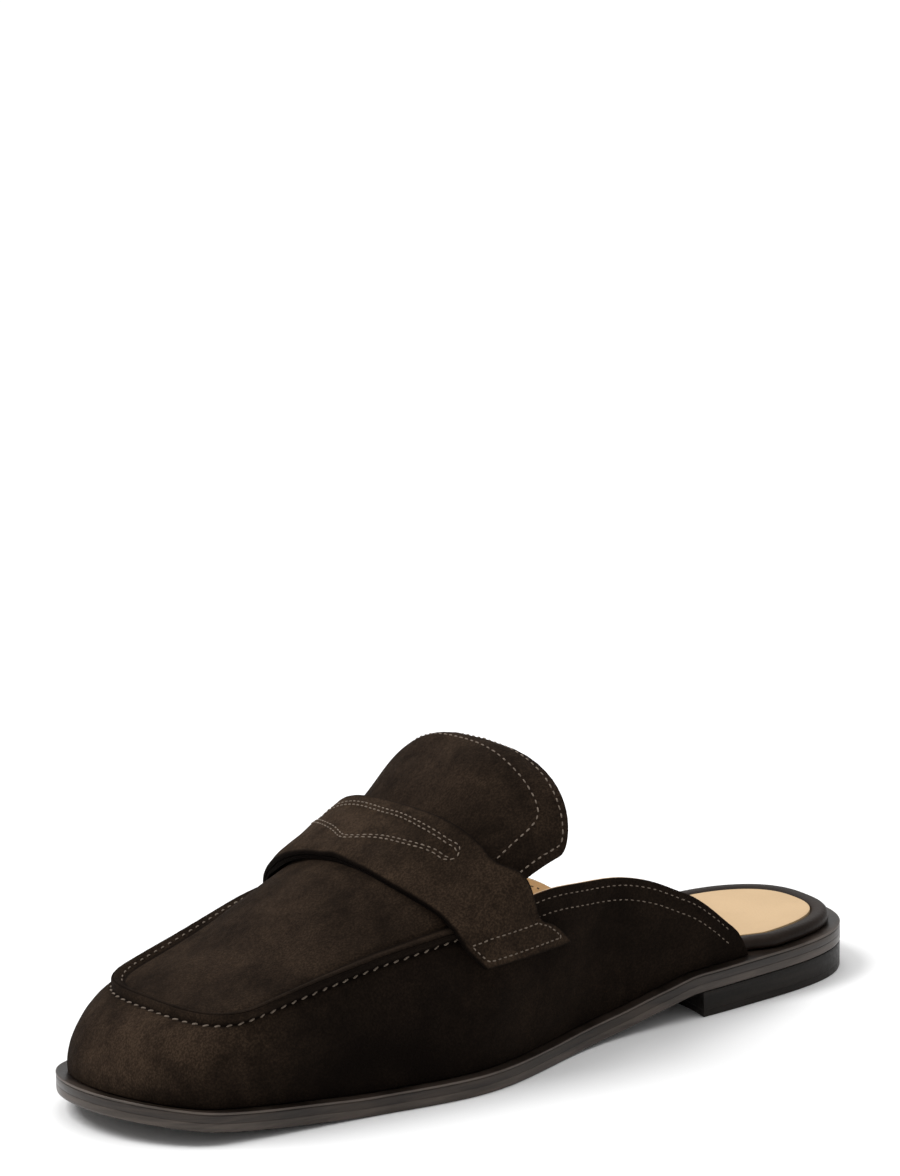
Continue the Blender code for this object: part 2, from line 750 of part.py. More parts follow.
def plug_across(rows, inset):
    """Share of the full arc at each row of a ring inset from the plug's edge."""
    ring, along = plug_ring(inset)
    x = along[rows]
    centre, half, _, _, arc, power = section(x)
    share = (ring[rows, 1] - centre) / half
    sine = np.abs(share) ** (power / 2) * np.sin(arc)
    return np.sign(share) * np.arcsin(np.clip(sine, 0, 1)) / arc


def build_upper():
    """Vamp wall, quarters, plug and tongue as one hollow wall, with the seam raised round it."""
    points, faces, raised = upper_sheet()
    faces = outward(points, faces)
    out = normals(points, faces)
    outer = points + out * raised[:, None]
    inner = points - out * WALL
    points, faces = shell(outer, inner, faces)
    add_piece("upper", points, faces, (0.030, 0.020, 0.015), 0.95)


def outward(points, faces):
    """The faces turned one way, outwards, whatever order their points were given in."""
    mesh = bpy.data.meshes.new("turning")
    mesh.from_pydata(points.tolist(), [], faces)
    shape = bmesh.new()
    shape.from_mesh(mesh)
    bmesh.ops.recalc_face_normals(shape, faces=shape.faces)
    turned = [tuple(v.index for v in face.verts) for face in shape.faces]
    crown = max(shape.faces, key=lambda face: face.calc_center_median().z)
    up = crown.normal.z > 0
    shape.free()
    bpy.data.meshes.remove(mesh)
    return turned if up else [face[::-1] for face in turned]


def wall_share(x, side, height):
    """How far up the wall it is this high over the sole, found by halving."""
    low, high = 0 * x, 1 + 0 * x
    for _ in range(HALVINGS):
        mid = (low + high) / 2
        under = side_wall(x, side, mid)[:, 2] < topside(x) + height
        low, high = np.where(under, mid, low), np.where(under, high, mid)
    return low


def strap_point(down, side, x):
    """A point on the strap's underside: a spline down its length through a few places that lie
    just over the plug, the seam and the wall of the section at x."""
    keys = STRAP_KEYS
    tab = wall_share(x, side, TAB_HEIGHT)
    lifts = keys["lateral" if side > 0 else "medial"]
    total = np.zeros((len(x), 3))
    for k in range(len(keys["down"])):
        one = np.zeros(len(keys["down"]))
        one[k] = 1
        weight = smooth(down, keys["down"], one)
        if keys["wall"][k] == 1.0:
            point = plug_point(x, side * keys["plug"][k] + 0 * x)
            centre = plug_point(x, 0 * x) - (0, 0, LIFT_CENTRE * BALL_WIDTH)
            out = (point - centre) * (0, 1, 1)
            out = out / np.linalg.norm(out, axis=1)[:, None]
        else:
            t = tab + (1 - tab) * keys["wall"][k]
            point = side_wall(x, side, t)
            out = np.array([0.0, side, 0.0])
        lift = GAP + STRAP_LIFT * lifts[k]
        total += weight[:, None] * (point + out * lift)
    return total


def build_saddle_strap():
    """Saddle strap: a band over the plug and the seam, down to a square tab on each wall."""
    rows, columns = STRAP_ROWS
    line = np.linspace(-1, 1, rows + 1)
    down = np.repeat(np.abs(line), columns + 1)
    sides = np.repeat(np.where(line >= 0, 1.0, -1.0), columns + 1)
    share = np.tile(np.linspace(0, 1, columns + 1), rows + 1)
    points = np.zeros((len(down), 3))
    for side, name in ((1.0, "lateral"), (-1.0, "medial")):
        here = sides == side
        edges = [
            smooth(down[here], STRAP_EDGES["down"], STRAP_EDGES[f"{name}_{end}"])
            for end in ("rear", "front")
        ]
        x = LENGTH * (edges[0] + (edges[1] - edges[0]) * share[here])
        points[here] = strap_point(down[here], side, x)
    faces = []
    for i in range(rows):
        low = range(i * (columns + 1), (i + 1) * (columns + 1))
        strip(faces, list(low), [j + columns + 1 for j in low])
    faces = outward(points, faces)
    out = normals(points, faces)
    points, faces = shell(points + out * STRAP, points, faces)
    add_piece("saddle_strap", points, faces, (0.034, 0.023, 0.017), 0.95)


def main():
    for old in list(bpy.data.objects):
        bpy.data.objects.remove(old)
    shoe = bpy.data.collections.new("flat_mule")
    bpy.context.scene.collection.children.link(shoe)
    build_outsole()
    build_heel_block()
    build_footbed()
    build_sock_lining()
    build_upper()
    build_saddle_strap()


main()
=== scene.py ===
"""Looks of the flat mule: suede upper, saddle strap, stitched seams, leather sole and insole.

Shapes are worked out in the shoe's own coordinates: x from the back of the heel to the toe, y
towards the outer side of the foot and z up, in metres. Each mesh is then moved so that the origin
is under the middle of the outsole's outline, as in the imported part.
"""

import json
import math

import bmesh
import bpy
import numpy as np
from mathutils import Matrix, Vector

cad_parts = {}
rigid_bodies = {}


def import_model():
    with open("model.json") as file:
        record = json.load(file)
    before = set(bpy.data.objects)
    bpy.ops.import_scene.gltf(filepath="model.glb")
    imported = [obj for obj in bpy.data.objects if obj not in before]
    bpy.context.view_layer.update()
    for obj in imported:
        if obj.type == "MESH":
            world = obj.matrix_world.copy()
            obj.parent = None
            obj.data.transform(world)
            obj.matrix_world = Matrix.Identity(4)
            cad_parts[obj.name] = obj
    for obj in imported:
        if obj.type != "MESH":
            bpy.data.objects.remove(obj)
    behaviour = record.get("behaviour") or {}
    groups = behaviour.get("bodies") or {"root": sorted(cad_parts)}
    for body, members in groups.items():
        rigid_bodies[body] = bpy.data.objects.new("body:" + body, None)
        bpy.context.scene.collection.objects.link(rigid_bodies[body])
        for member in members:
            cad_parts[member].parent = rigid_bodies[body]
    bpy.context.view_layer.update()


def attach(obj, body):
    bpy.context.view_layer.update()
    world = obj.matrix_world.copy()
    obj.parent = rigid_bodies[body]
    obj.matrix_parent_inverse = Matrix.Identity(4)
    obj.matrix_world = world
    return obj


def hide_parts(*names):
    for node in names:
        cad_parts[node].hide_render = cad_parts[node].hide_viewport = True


MM = 0.001

# Stations of the fine grids along each round end and side
OUTLINE_ROWS = (26, 84, 30)
TONGUE_ROWS = (18, 20)
FRONT_ROWS = (78, 40)
QUARTER_ROWS = 54

# Driving dimensions of the sole
LENGTH = 0.262
BALL_WIDTH = 0.088
OUTSOLE = 0.0059
HEEL_HEIGHT = 0.0084
HEEL_LENGTH = 0.0672
BREAST_HOLLOW = 0.0025
TOE_SPRING = 0.0069
TOE_ROUND = 0.0205
HEEL_ROUND = 0.0435
LEDGE = 0.0035
GAP = 0.0003

# Driving dimensions of the insole
RIM_SETBACK = 0.0032
RIM_WIDTH = 0.0051
RIM_HEIGHT = 0.0042
FOOTBED = 0.0026
SOCK = 0.001
TUCK = 0.012

# Driving dimensions of the upper
TONGUE_HEIGHT = 0.0855
WALL = 0.002
TONGUE_ROUND = 0.0065
PLUG_ROUND = 0.0155
STRAP_LIFT = 0.0015
TAB_HEIGHT = 0.0298

# Places along the shoe, as shares of its length
TREAD_START = 0.48
TREAD_END = 0.72
TONGUE_END = 0.4555
NOTCH = 0.573
PLUG_FRONT = 0.923
LATERAL_FOOT = 0.180
MEDIAL_FOOT = 0.257

# Roundness of the outline's ends, as powers of a rounded rectangle, and how far the toe slants
TOE_POWER = 2.05
HEEL_POWER = 2.5
PLUG_POWER = 2.7
TONGUE_POWER = 2.5
TOE_SLANT = 0.157
PLUG_SLANT = 0.16
SLANT_FROM = 0.78
TONGUE_SLANT = 0.13
TONGUE_SLANT_FROM = 0.56

# Pulls of the wall's curve, as shares of its rise: up and out from the welt, and down and out from
# its top edge, on the quarters and on the vamp. The edge also pulls out with the curve's reach
FOOT_PULL = (0.40, 0.05)
QUARTER_PULL = (0.33, 0.02)
VAMP_PULL = (0.16, 0.08)
REACH_PULL = 0.45
VAMP_FROM = (0.533, 0.673)

# The strap's way down from the crown: where it crosses the seam, how far ahead of it and under it
# the raised seam fades, and how deep under the crown its lifts point away from
SEAM_DOWN = 0.74
RIDGE_FADE = (0.035, 0.020)
LIFT_CENTRE = 0.33
HALVINGS = 12

# How often the places up the wall are corrected, from a first share below its top edge
CORRECTIONS = 5
FIRST_BELOW = 0.03


def table(names, *rows):
    """A table's columns by name."""
    return dict(zip(names.split(), np.array(rows, float).T))


# Half widths of the outsole, as shares of the ball width, along the length
OUTLINE = table(
    "along lateral medial",
    (0.00, 0.348, 0.341),
    (0.12, 0.335, 0.352),
    (0.25, 0.353, 0.335),
    (0.42, 0.371, 0.341),
    (0.58, 0.508, 0.420),
    (0.72, 0.462, 0.483),
    (0.85, 0.411, 0.437),
    (0.95, 0.357, 0.341),
    (1.00, 0.323, 0.307),
)

# The underside from the breast to the tread, as a share of the heel height
WAIST = table(
    "along height",
    (0.00, 0.94),
    (0.22, 0.66),
    (0.55, 0.21),
    (0.80, 0.05),
    (1.00, 0.00),
)

# The underside from the tread to the toe, as a share of the toe spring
SPRING = table(
    "along height",
    (0.00, 0.00),
    (0.30, 0.20),
    (0.65, 0.47),
    (1.00, 1.00),
)

# Plug and tongue: sections along the length. Centre and half width are shares of the ball width,
# edge and crown are heights over the sole in shares of the tongue's, round is half the arc that
# the section spans, in degrees, and box is its power: 2 is an arc, and more is fuller
SECTIONS = table(
    "along centre half edge crown round box",
    (0.447, -0.006, 0.410, 0.684, 0.945, 84, 2.50),
    (0.492, -0.008, 0.415, 0.643, 0.990, 80, 2.50),
    (0.519, -0.012, 0.420, 0.602, 0.955, 74, 2.55),
    (0.546, -0.016, 0.425, 0.544, 0.885, 67, 2.60),
    (0.573, -0.018, 0.429, 0.497, 0.812, 60, 2.60),
    (0.607, -0.018, 0.428, 0.477, 0.749, 54, 2.50),
    (0.656, -0.012, 0.413, 0.458, 0.667, 50, 2.35),
    (0.718, 0.002, 0.388, 0.435, 0.579, 48, 2.15),
    (0.786, 0.020, 0.357, 0.387, 0.461, 45, 2.00),
    (0.859, 0.028, 0.324, 0.324, 0.365, 42, 2.00),
    (0.925, 0.045, 0.275, 0.275, 0.292, 40, 2.00),
)

# Toplines of the quarters: height over the sole as a share of the tongue's, and how far the edge
# leans in from the welt as a share of the ball width. Places are shares of the stretch from the
# quarter's back end to the notch
LATERAL_TOP = table(
    "along height lean",
    (0.00, 0.018, 0.000),
    (0.025, 0.080, -0.001),
    (0.065, 0.133, -0.003),
    (0.134, 0.208, -0.005),
    (0.197, 0.268, -0.006),
    (0.248, 0.310, -0.006),
    (0.304, 0.361, -0.007),
    (0.389, 0.426, -0.009),
    (0.472, 0.474, -0.016),
    (0.557, 0.502, -0.021),
    (0.653, 0.527, -0.025),
    (0.743, 0.541, -0.011),
    (0.815, 0.537, 0.006),
    (0.900, 0.520, 0.033),
    (1.00, 0.497, 0.055),
)
MEDIAL_TOP = table(
    "along height lean",
    (0.00, 0.018, 0.000),
    (0.034, 0.080, -0.004),
    (0.082, 0.133, -0.010),
    (0.160, 0.203, -0.018),
    (0.242, 0.268, -0.023),
    (0.305, 0.308, -0.027),
    (0.384, 0.357, -0.033),
    (0.490, 0.421, -0.040),
    (0.600, 0.474, -0.046),
    (0.735, 0.515, -0.050),
    (0.870, 0.525, -0.044),
    (1.00, 0.497, -0.028),
)

# Edges of the saddle strap along the shoe, in shares of its length, from the crown, where down is
# 0, over the seam to the end of the tab
STRAP_EDGES = table(
    "down lateral_front lateral_rear medial_front medial_rear",
    (0.00, 0.6665, 0.5830, 0.6665, 0.5830),
    (0.18, 0.6605, 0.5730, 0.6745, 0.5865),
    (0.35, 0.6520, 0.5610, 0.6800, 0.5865),
    (0.49, 0.6390, 0.5510, 0.6780, 0.5820),
    (0.62, 0.6235, 0.5390, 0.6730, 0.5740),
    (0.74, 0.6110, 0.5110, 0.6670, 0.5660),
    (0.86, 0.6015, 0.4890, 0.6590, 0.5520),
    (1.00, 0.5820, 0.4545, 0.6500, 0.5300),
)

# Places on the section that the strap follows: how far down its length, and where that is on the
# plug, from crown 0 to seam 1, or on the wall, from seam 1 to the tab's end 0. Then how far it
# stands off there on each side, in shares of the lift: it stands proud on the inner shoulder
STRAP_KEYS = table(
    "down plug wall lateral medial",
    (0.00, 0.00, 1.0, 0.6, 0.6),
    (0.19, 0.26, 1.0, 0.4, 1.2),
    (0.38, 0.52, 1.0, 0.3, 1.7),
    (0.56, 0.77, 1.0, 0.5, 1.4),
    (0.68, 0.93, 1.0, 1.0, 1.1),
    (0.76, 1.00, 0.90, 1.1, 0.8),
    (0.87, 1.00, 0.50, 0.5, 0.4),
    (1.00, 1.00, 0.00, 0.3, 0.3),
)


def smooth(x, xs, ys):
    """Natural cubic spline through a table's points."""
    x = np.clip(x, xs[0], xs[-1])
    step = np.diff(xs)
    slope = np.diff(ys) / step
    matrix = np.eye(len(xs))
    bend = np.zeros(len(xs))
    for i in range(1, len(xs) - 1):
        matrix[i, i - 1 : i + 2] = step[i - 1], 2 * (step[i - 1] + step[i]), step[i]
        bend[i] = 6 * (slope[i] - slope[i - 1])
    bend = np.linalg.solve(matrix, bend)
    i = np.clip(np.searchsorted(xs, x, side="right") - 1, 0, len(xs) - 2)
    t = x - xs[i]
    first = slope[i] - step[i] * (2 * bend[i] + bend[i + 1]) / 6
    return ys[i] + t * (first + t * (bend[i] / 2 + t * (bend[i + 1] - bend[i]) / (6 * step[i])))


def level(x, xs, ys):
    """Monotone cubic through the points, exactly flat between two equal values."""
    x = np.clip(x, xs[0], xs[-1])
    step = np.diff(xs)
    slope = np.diff(ys) / step
    tangent = np.concatenate([slope[:1], np.zeros(len(xs) - 2), slope[-1:]])
    for i in range(1, len(xs) - 1):
        if slope[i - 1] * slope[i] > 0:
            tangent[i] = 2 * slope[i - 1] * slope[i] / (slope[i - 1] + slope[i])
    i = np.clip(np.searchsorted(xs, x, side="right") - 1, 0, len(xs) - 2)
    t = (x - xs[i]) / step[i]
    rise = t * t * (3 - 2 * t)
    start = t * (1 - t) ** 2 * step[i] * tangent[i]
    end = t * t * (t - 1) * step[i] * tangent[i + 1]
    return ys[i] + (ys[i + 1] - ys[i]) * rise + start + end


def ease(x, start, end):
    """Rises smoothly from 0 at start to 1 at end."""
    t = np.clip((x - start) / (end - start), 0, 1)
    return t * t * (3 - 2 * t)


def underside(x):
    """Height of the outsole's underside."""
    tread, toe = TREAD_START * LENGTH, TREAD_END * LENGTH
    waist = HEEL_LENGTH + (tread - HEEL_LENGTH) * WAIST["along"]
    spring = toe + (LENGTH - toe) * SPRING["along"]
    xs = np.concatenate([[0], waist, spring])
    zs = np.concatenate(
        [[HEEL_HEIGHT], HEEL_HEIGHT * WAIST["height"], TOE_SPRING * SPRING["height"]]
    )
    return level(x, xs, zs)


def topside(x):
    """Height of the outsole's top face."""
    return underside(x) + OUTSOLE


def half_width(x, side):
    """Half width of the outsole on the outer side, 1, or the inner side, -1."""
    column = OUTLINE["lateral"] if side > 0 else OUTLINE["medial"]
    return BALL_WIDTH * smooth(x / LENGTH, OUTLINE["along"], column)


def slanted(x, y, slant):
    """x with the toe cut at a slant, further forward on the inner side."""
    return x - slant * y * ease(x, SLANT_FROM * LENGTH, LENGTH)


def plug_slanted(x, y):
    """x with both ends of the plug cut at a slant, further forward on the inner side."""
    back = ease(TONGUE_SLANT_FROM * LENGTH - x, 0, (TONGUE_SLANT_FROM - TONGUE_END) * LENGTH)
    return slanted(x, y, PLUG_SLANT) - TONGUE_SLANT * y * back


def run(start, sides, end, powers, counts):
    """Stations from one rounded end to the other and, at each, the share of the full width.

    The round ends are rounded rectangles: the two shares, along and across, are powers of the
    cosine and sine of an angle that turns through 90 degrees.
    """
    first = np.linspace(0, math.pi / 2, counts[0] + 1)[:-1]
    last = np.linspace(0, math.pi / 2, counts[1] + 1)[1:]
    x = [
        sides[0] - (sides[0] - start) * np.cos(first) ** (2 / powers[0]),
        sides,
        sides[-1] + (end - sides[-1]) * np.sin(last) ** (2 / powers[1]),
    ]
    share = [
        np.sin(first) ** (2 / powers[0]),
        np.ones(len(sides)),
        np.clip(np.cos(last), 0, 1) ** (2 / powers[1]),
    ]
    return np.concatenate(x), np.concatenate(share)


def both_sides(lateral, medial):
    """A closed ring: the back's middle, the outer side, the toe's middle, the inner side."""
    return np.concatenate([lateral, medial[-2:0:-1]])


def outline(inset, height):
    """The outsole's outline moved in by inset(x, side), at height(x), as a ring of points."""
    rows = OUTLINE_ROWS
    sides = np.linspace(HEEL_ROUND, LENGTH - TOE_ROUND, rows[1] + 1)
    ends = inset(0.0, 1), LENGTH - inset(LENGTH, 1)
    x, share = run(ends[0], sides, ends[1], (HEEL_POWER, TOE_POWER), (rows[0], rows[2]))
    halves = []
    for side in (1, -1):
        y = side * share * (half_width(x, side) - inset(x, side))
        halves.append(np.stack([slanted(x, y, TOE_SLANT), y, height(x)], axis=1))
    return both_sides(*halves)


def even(amount):
    """An inset that is the same all round."""
    return lambda x, side: amount + 0 * x


def footbed_inset(extra):
    """Inset of the footbed: at the heel its rim shows, and forward it lies inside the upper."""
    inside = LEDGE + WALL + 3 * GAP

    def inset(x, side):
        foot = LENGTH * (LATERAL_FOOT if side > 0 else MEDIAL_FOOT)
        tucked = ease(x, foot - TUCK, foot - TUCK / 8)
        return RIM_SETBACK + (inside - RIM_SETBACK) * tucked + extra

    return inset


def middle():
    """The middle of the outline's box, which becomes the origin."""
    ring = outline(even(0.0), topside)
    return (ring.min(axis=0) + ring.max(axis=0)) / 2 * (1, 1, 0)


def section(x):
    """Centre, half width, edge height, crown height, half arc and power of the section at x."""
    along = SECTIONS["along"]
    share = x / LENGTH
    centre = BALL_WIDTH * smooth(share, along, SECTIONS["centre"])
    half = BALL_WIDTH * smooth(share, along, SECTIONS["half"])
    edge = TONGUE_HEIGHT * smooth(share, along, SECTIONS["edge"])
    crown = TONGUE_HEIGHT * smooth(share, along, SECTIONS["crown"])
    arc = np.radians(smooth(share, along, SECTIONS["round"]))
    return centre, half, edge, crown, arc, smooth(share, along, SECTIONS["box"])


def plug_point(x, across):
    """A point of plug or tongue: each section is an arc from seam to seam, across -1 to 1.

    The sine and cosine of the arc's angle are raised to 2 over the power, which makes it fuller.
    """
    centre, half, edge, crown, arc, power = section(x)
    angle = across * arc
    y = centre + half * np.sign(angle) * (np.abs(np.sin(angle)) / np.sin(arc)) ** (2 / power)
    end = np.cos(arc) ** (2 / power)
    lift = (np.cos(angle) ** (2 / power) - end) / (1 - end)
    z = topside(x) + edge + (crown - edge) * lift
    return np.stack([plug_slanted(x, y), y, z], axis=-1)


def rolled(values, reach):
    """A closed row of numbers, each replaced twice by the mean of its neighbours this near."""
    for _ in range(2):
        values = np.mean([np.roll(values, k) for k in range(-reach, reach + 1)], axis=0)
    return values


def plug_params(inset, rounding=0):
    """Place along the shoe and signed share across, round a ring inset from the plug's edge."""
    side = np.concatenate(
        [
            np.linspace(TONGUE_END * LENGTH + TONGUE_ROUND, NOTCH * LENGTH, TONGUE_ROWS[1] + 1),
            np.linspace(NOTCH * LENGTH, PLUG_FRONT * LENGTH - PLUG_ROUND, FRONT_ROWS[0] + 1)[1:],
        ]
    )
    x, share = run(
        TONGUE_END * LENGTH + inset,
        side,
        PLUG_FRONT * LENGTH - inset,
        (TONGUE_POWER, PLUG_POWER),
        (TONGUE_ROWS[0], FRONT_ROWS[1]),
    )
    _, half, edge, crown, _, _ = section(x)
    across = share * (1 - inset / np.hypot(half, crown - edge))
    return rolled(both_sides(x, x), rounding), rolled(both_sides(across, -across), rounding)


def topline(x, side):
    """Edge of a quarter at x, shifted a little so that it meets the plug at the notch."""
    column = LATERAL_TOP if side > 0 else MEDIAL_TOP
    foot = LENGTH * (LATERAL_FOOT if side > 0 else MEDIAL_FOOT)
    notch = NOTCH * LENGTH
    share = (x - foot) / (notch - foot)
    lean = BALL_WIDTH * smooth(share, column["along"], column["lean"])
    height = TONGUE_HEIGHT * smooth(share, column["along"], column["height"])
    y = side * (half_width(x, side) - LEDGE - lean)
    target = plug_point(np.array(notch), float(side))
    ending = side * (half_width(notch, side) - LEDGE - BALL_WIDTH * column["lean"][-1])
    ending_z = topside(notch) + TONGUE_HEIGHT * column["height"][-1]
    near = ease(share, 0.4, 1.0)
    y = y + near * (target[1] - ending)
    z = topside(x) + height + near * (target[2] - ending_z)
    return np.stack([x + 0 * y, y, z], axis=-1)


def foot_place(x, side):
    """Where the wall's foot is for a point x of its top edge: it runs ahead towards the toe."""
    notch, top_end = NOTCH * LENGTH, PLUG_FRONT * LENGTH - PLUG_ROUND
    ahead = (LENGTH - TOE_ROUND - top_end) * np.clip((x - notch) / (top_end - notch), 0, 1) ** 2
    return foot_point(x + ahead, 1.0, side)


def foot_point(x, share, side):
    """A point on the welt where the wall stands, share of the full width from the middle."""
    y = side * share * (half_width(x, side) - LEDGE)
    return np.stack([slanted(x, y, TOE_SLANT), y, topside(x) + GAP], axis=-1)


def wall_curve(top, foot, out, x, t):
    """A point up the wall, t from 0 at the welt to 1 at the top edge, on a cubic Bezier curve.

    It leaves the welt almost upright, bulges a little, and rounds over to meet the plug.
    """
    rise = (top - foot)[..., 2]
    reach = np.clip(-((top - foot) * out).sum(axis=-1), 0, None)
    vamp = ease(x / LENGTH, *VAMP_FROM)
    down, pull = (a + (b - a) * vamp for a, b in zip(QUARTER_PULL, VAMP_PULL))
    up = np.array([0.0, 0.0, 1.0])
    low = foot + (up * FOOT_PULL[0] + out * FOOT_PULL[1]) * rise[..., None]
    high = top - up * (down * rise)[..., None]
    high = high + out * (REACH_PULL * reach + pull * rise)[..., None]
    t = t[..., None]
    s = 1 - t
    return s**3 * foot + 3 * s * s * t * low + 3 * s * t * t * high + t**3 * top


def side_wall(x, side, t):
    """A point up the wall on one side, at x along the shoe, behind the toe's round corner."""
    edge = plug_point(np.maximum(x, NOTCH * LENGTH), side + 0.0 * x)
    back = topline(np.minimum(x, NOTCH * LENGTH), side)
    top = np.where((x < NOTCH * LENGTH)[..., None], back, edge)
    foot = foot_place(x, side)
    ahead = foot_place(x + WALL, side)
    along = (ahead - foot) * (1, 1, 0)
    along = along / np.linalg.norm(along, axis=-1)[..., None]
    out = side * np.stack([-along[..., 1], along[..., 0], 0 * along[..., 0]], axis=-1)
    return wall_curve(top, foot, out, x, t)


def wall_edges():
    """Top edge, foot, outward direction and place along the shoe, from the outer quarter's back
    end round the toe to the inner quarter's back end."""
    along, across = plug_params(0.0)
    ring = plug_point(along, across)
    first, last = sum(TONGUE_ROWS), len(ring) - sum(TONGUE_ROWS)
    tops, feet, places = [], [], []
    turn = np.linspace(0, math.pi / 2, FRONT_ROWS[1] + 1)[1:]
    toe_start = LENGTH - TOE_ROUND
    toe_x = toe_start + (TOE_ROUND - LEDGE) * np.sin(turn) ** (2 / TOE_POWER)
    toe_share = np.clip(np.cos(turn), 0, 1) ** (2 / TOE_POWER)
    for side, start in ((1, LATERAL_FOOT), (-1, MEDIAL_FOOT)):
        quarter = np.linspace(start * LENGTH, NOTCH * LENGTH, QUARTER_ROWS + 1)[:-1]
        front = along[first : first + FRONT_ROWS[0] + 1]
        foot = [foot_place(quarter, side), foot_place(front, side)]
        foot.append(foot_point(toe_x, toe_share, side))
        feet.append(np.concatenate(foot))
        tops.append(topline(quarter, side))
        places.append(np.concatenate([quarter, along[first : len(ring) // 2 + 1]]))
    top = np.concatenate([tops[0], ring[first : last + 1], tops[1][::-1]])
    foot = np.concatenate([feet[0], feet[1][-2::-1]])
    place = np.concatenate([places[0], places[1][-2::-1]])
    along = np.gradient(foot, axis=0) * (1, 1, 0)
    along /= np.linalg.norm(along, axis=1)[:, None]
    out = np.stack([-along[:, 1], along[:, 0], 0 * along[:, 0]], axis=1)
    return top, foot, out, place


def wall_share(x, side, height):
    """How far up the wall it is this high over the sole, found by halving."""
    low, high = 0 * x, 1 + 0 * x
    for _ in range(HALVINGS):
        mid = (low + high) / 2
        under = side_wall(x, side, mid)[:, 2] < topside(x) + height
        low, high = np.where(under, mid, low), np.where(under, high, mid)
    return low


def strap_point(down, side, x):
    """A point on the strap's underside: a spline down its length through a few places that lie
    just over the plug, the seam and the wall of the section at x."""
    keys = STRAP_KEYS
    tab = wall_share(x, side, TAB_HEIGHT)
    lifts = keys["lateral" if side > 0 else "medial"]
    total = np.zeros((len(x), 3))
    for k in range(len(keys["down"])):
        one = np.zeros(len(keys["down"]))
        one[k] = 1
        weight = smooth(down, keys["down"], one)
        if keys["wall"][k] == 1.0:
            point = plug_point(x, side * keys["plug"][k] + 0 * x)
            centre = plug_point(x, 0 * x) - (0, 0, LIFT_CENTRE * BALL_WIDTH)
            out = (point - centre) * (0, 1, 1)
            out = out / np.linalg.norm(out, axis=1)[:, None]
        else:
            t = tab + (1 - tab) * keys["wall"][k]
            point = side_wall(x, side, t)
            out = np.array([0.0, side, 0.0])
        lift = GAP + STRAP_LIFT * lifts[k]
        total += weight[:, None] * (point + out * lift)
    return total


# Height of the raised seam against the distance from the crevice between its two edges, in mm.
# The vamp's edge stands up steeply from a groove, and the plug's rolls over softly
SEAM = table(
    "away vamp plug",
    (0.00, 1.90, 1.90),
    (0.12, 2.12, 2.10),
    (0.30, 2.20, 2.22),
    (0.55, 2.05, 2.26),
    (0.85, 1.55, 2.18),
    (1.10, 0.78, 1.98),
    (1.30, 0.12, 1.68),
    (1.50, -0.28, 1.26),
    (1.75, -0.48, 0.72),
    (2.05, -0.46, 0.22),
    (2.40, -0.30, -0.14),
    (2.80, -0.15, -0.30),
    (3.30, -0.05, -0.20),
    (4.20, 0.00, -0.03),
    (5.50, 0.00, 0.00),
)

# Rounding of a free edge of the suede: how far it drops against the distance from the edge, in mm
FREE_EDGE = table(
    "away drop",
    (0.00, 0.42),
    (0.12, 0.24),
    (0.30, 0.10),
    (0.55, 0.02),
    (0.85, 0.00),
)

# Thickness of the suede and of the lining, and the slack between them
SUEDE = 1.3 * MM
LINING = 0.6 * MM
SLACK = 0.05 * MM

# A grid cell smaller than this, in square metres, has shrunk to a point
SHRUNK = 1e-11


def grid_faces(rows, columns, first=0, wrap=False):
    """Quads of a grid whose points are numbered row by row; wrap joins the last column to the
    first."""
    across = columns if wrap else columns - 1
    i, j = np.meshgrid(np.arange(rows - 1), np.arange(across), indexing="ij")
    after = (j + 1) % columns
    near, far = i * columns, (i + 1) * columns
    corners = [near + j, near + after, far + after, far + j]
    return first + np.stack(corners, axis=-1).reshape(-1, 4)


def grid_normals(points, out, wrap=False):
    """Unit normals of a grid: the cross product of its two differences, turned to agree with out.
    Where the grid has shrunk to a point they are out itself."""
    if wrap:
        along = np.roll(points, -1, axis=1) - np.roll(points, 1, axis=1)
    else:
        along = np.gradient(points, axis=1)
    up = np.gradient(points, axis=0)
    cross = np.cross(along, up)
    size = np.linalg.norm(cross, axis=-1, keepdims=True)
    cross = cross / np.maximum(size, 1e-12)
    if np.sum(cross * out) < 0:
        cross = -cross
    return np.where(size > SHRUNK, cross, out)


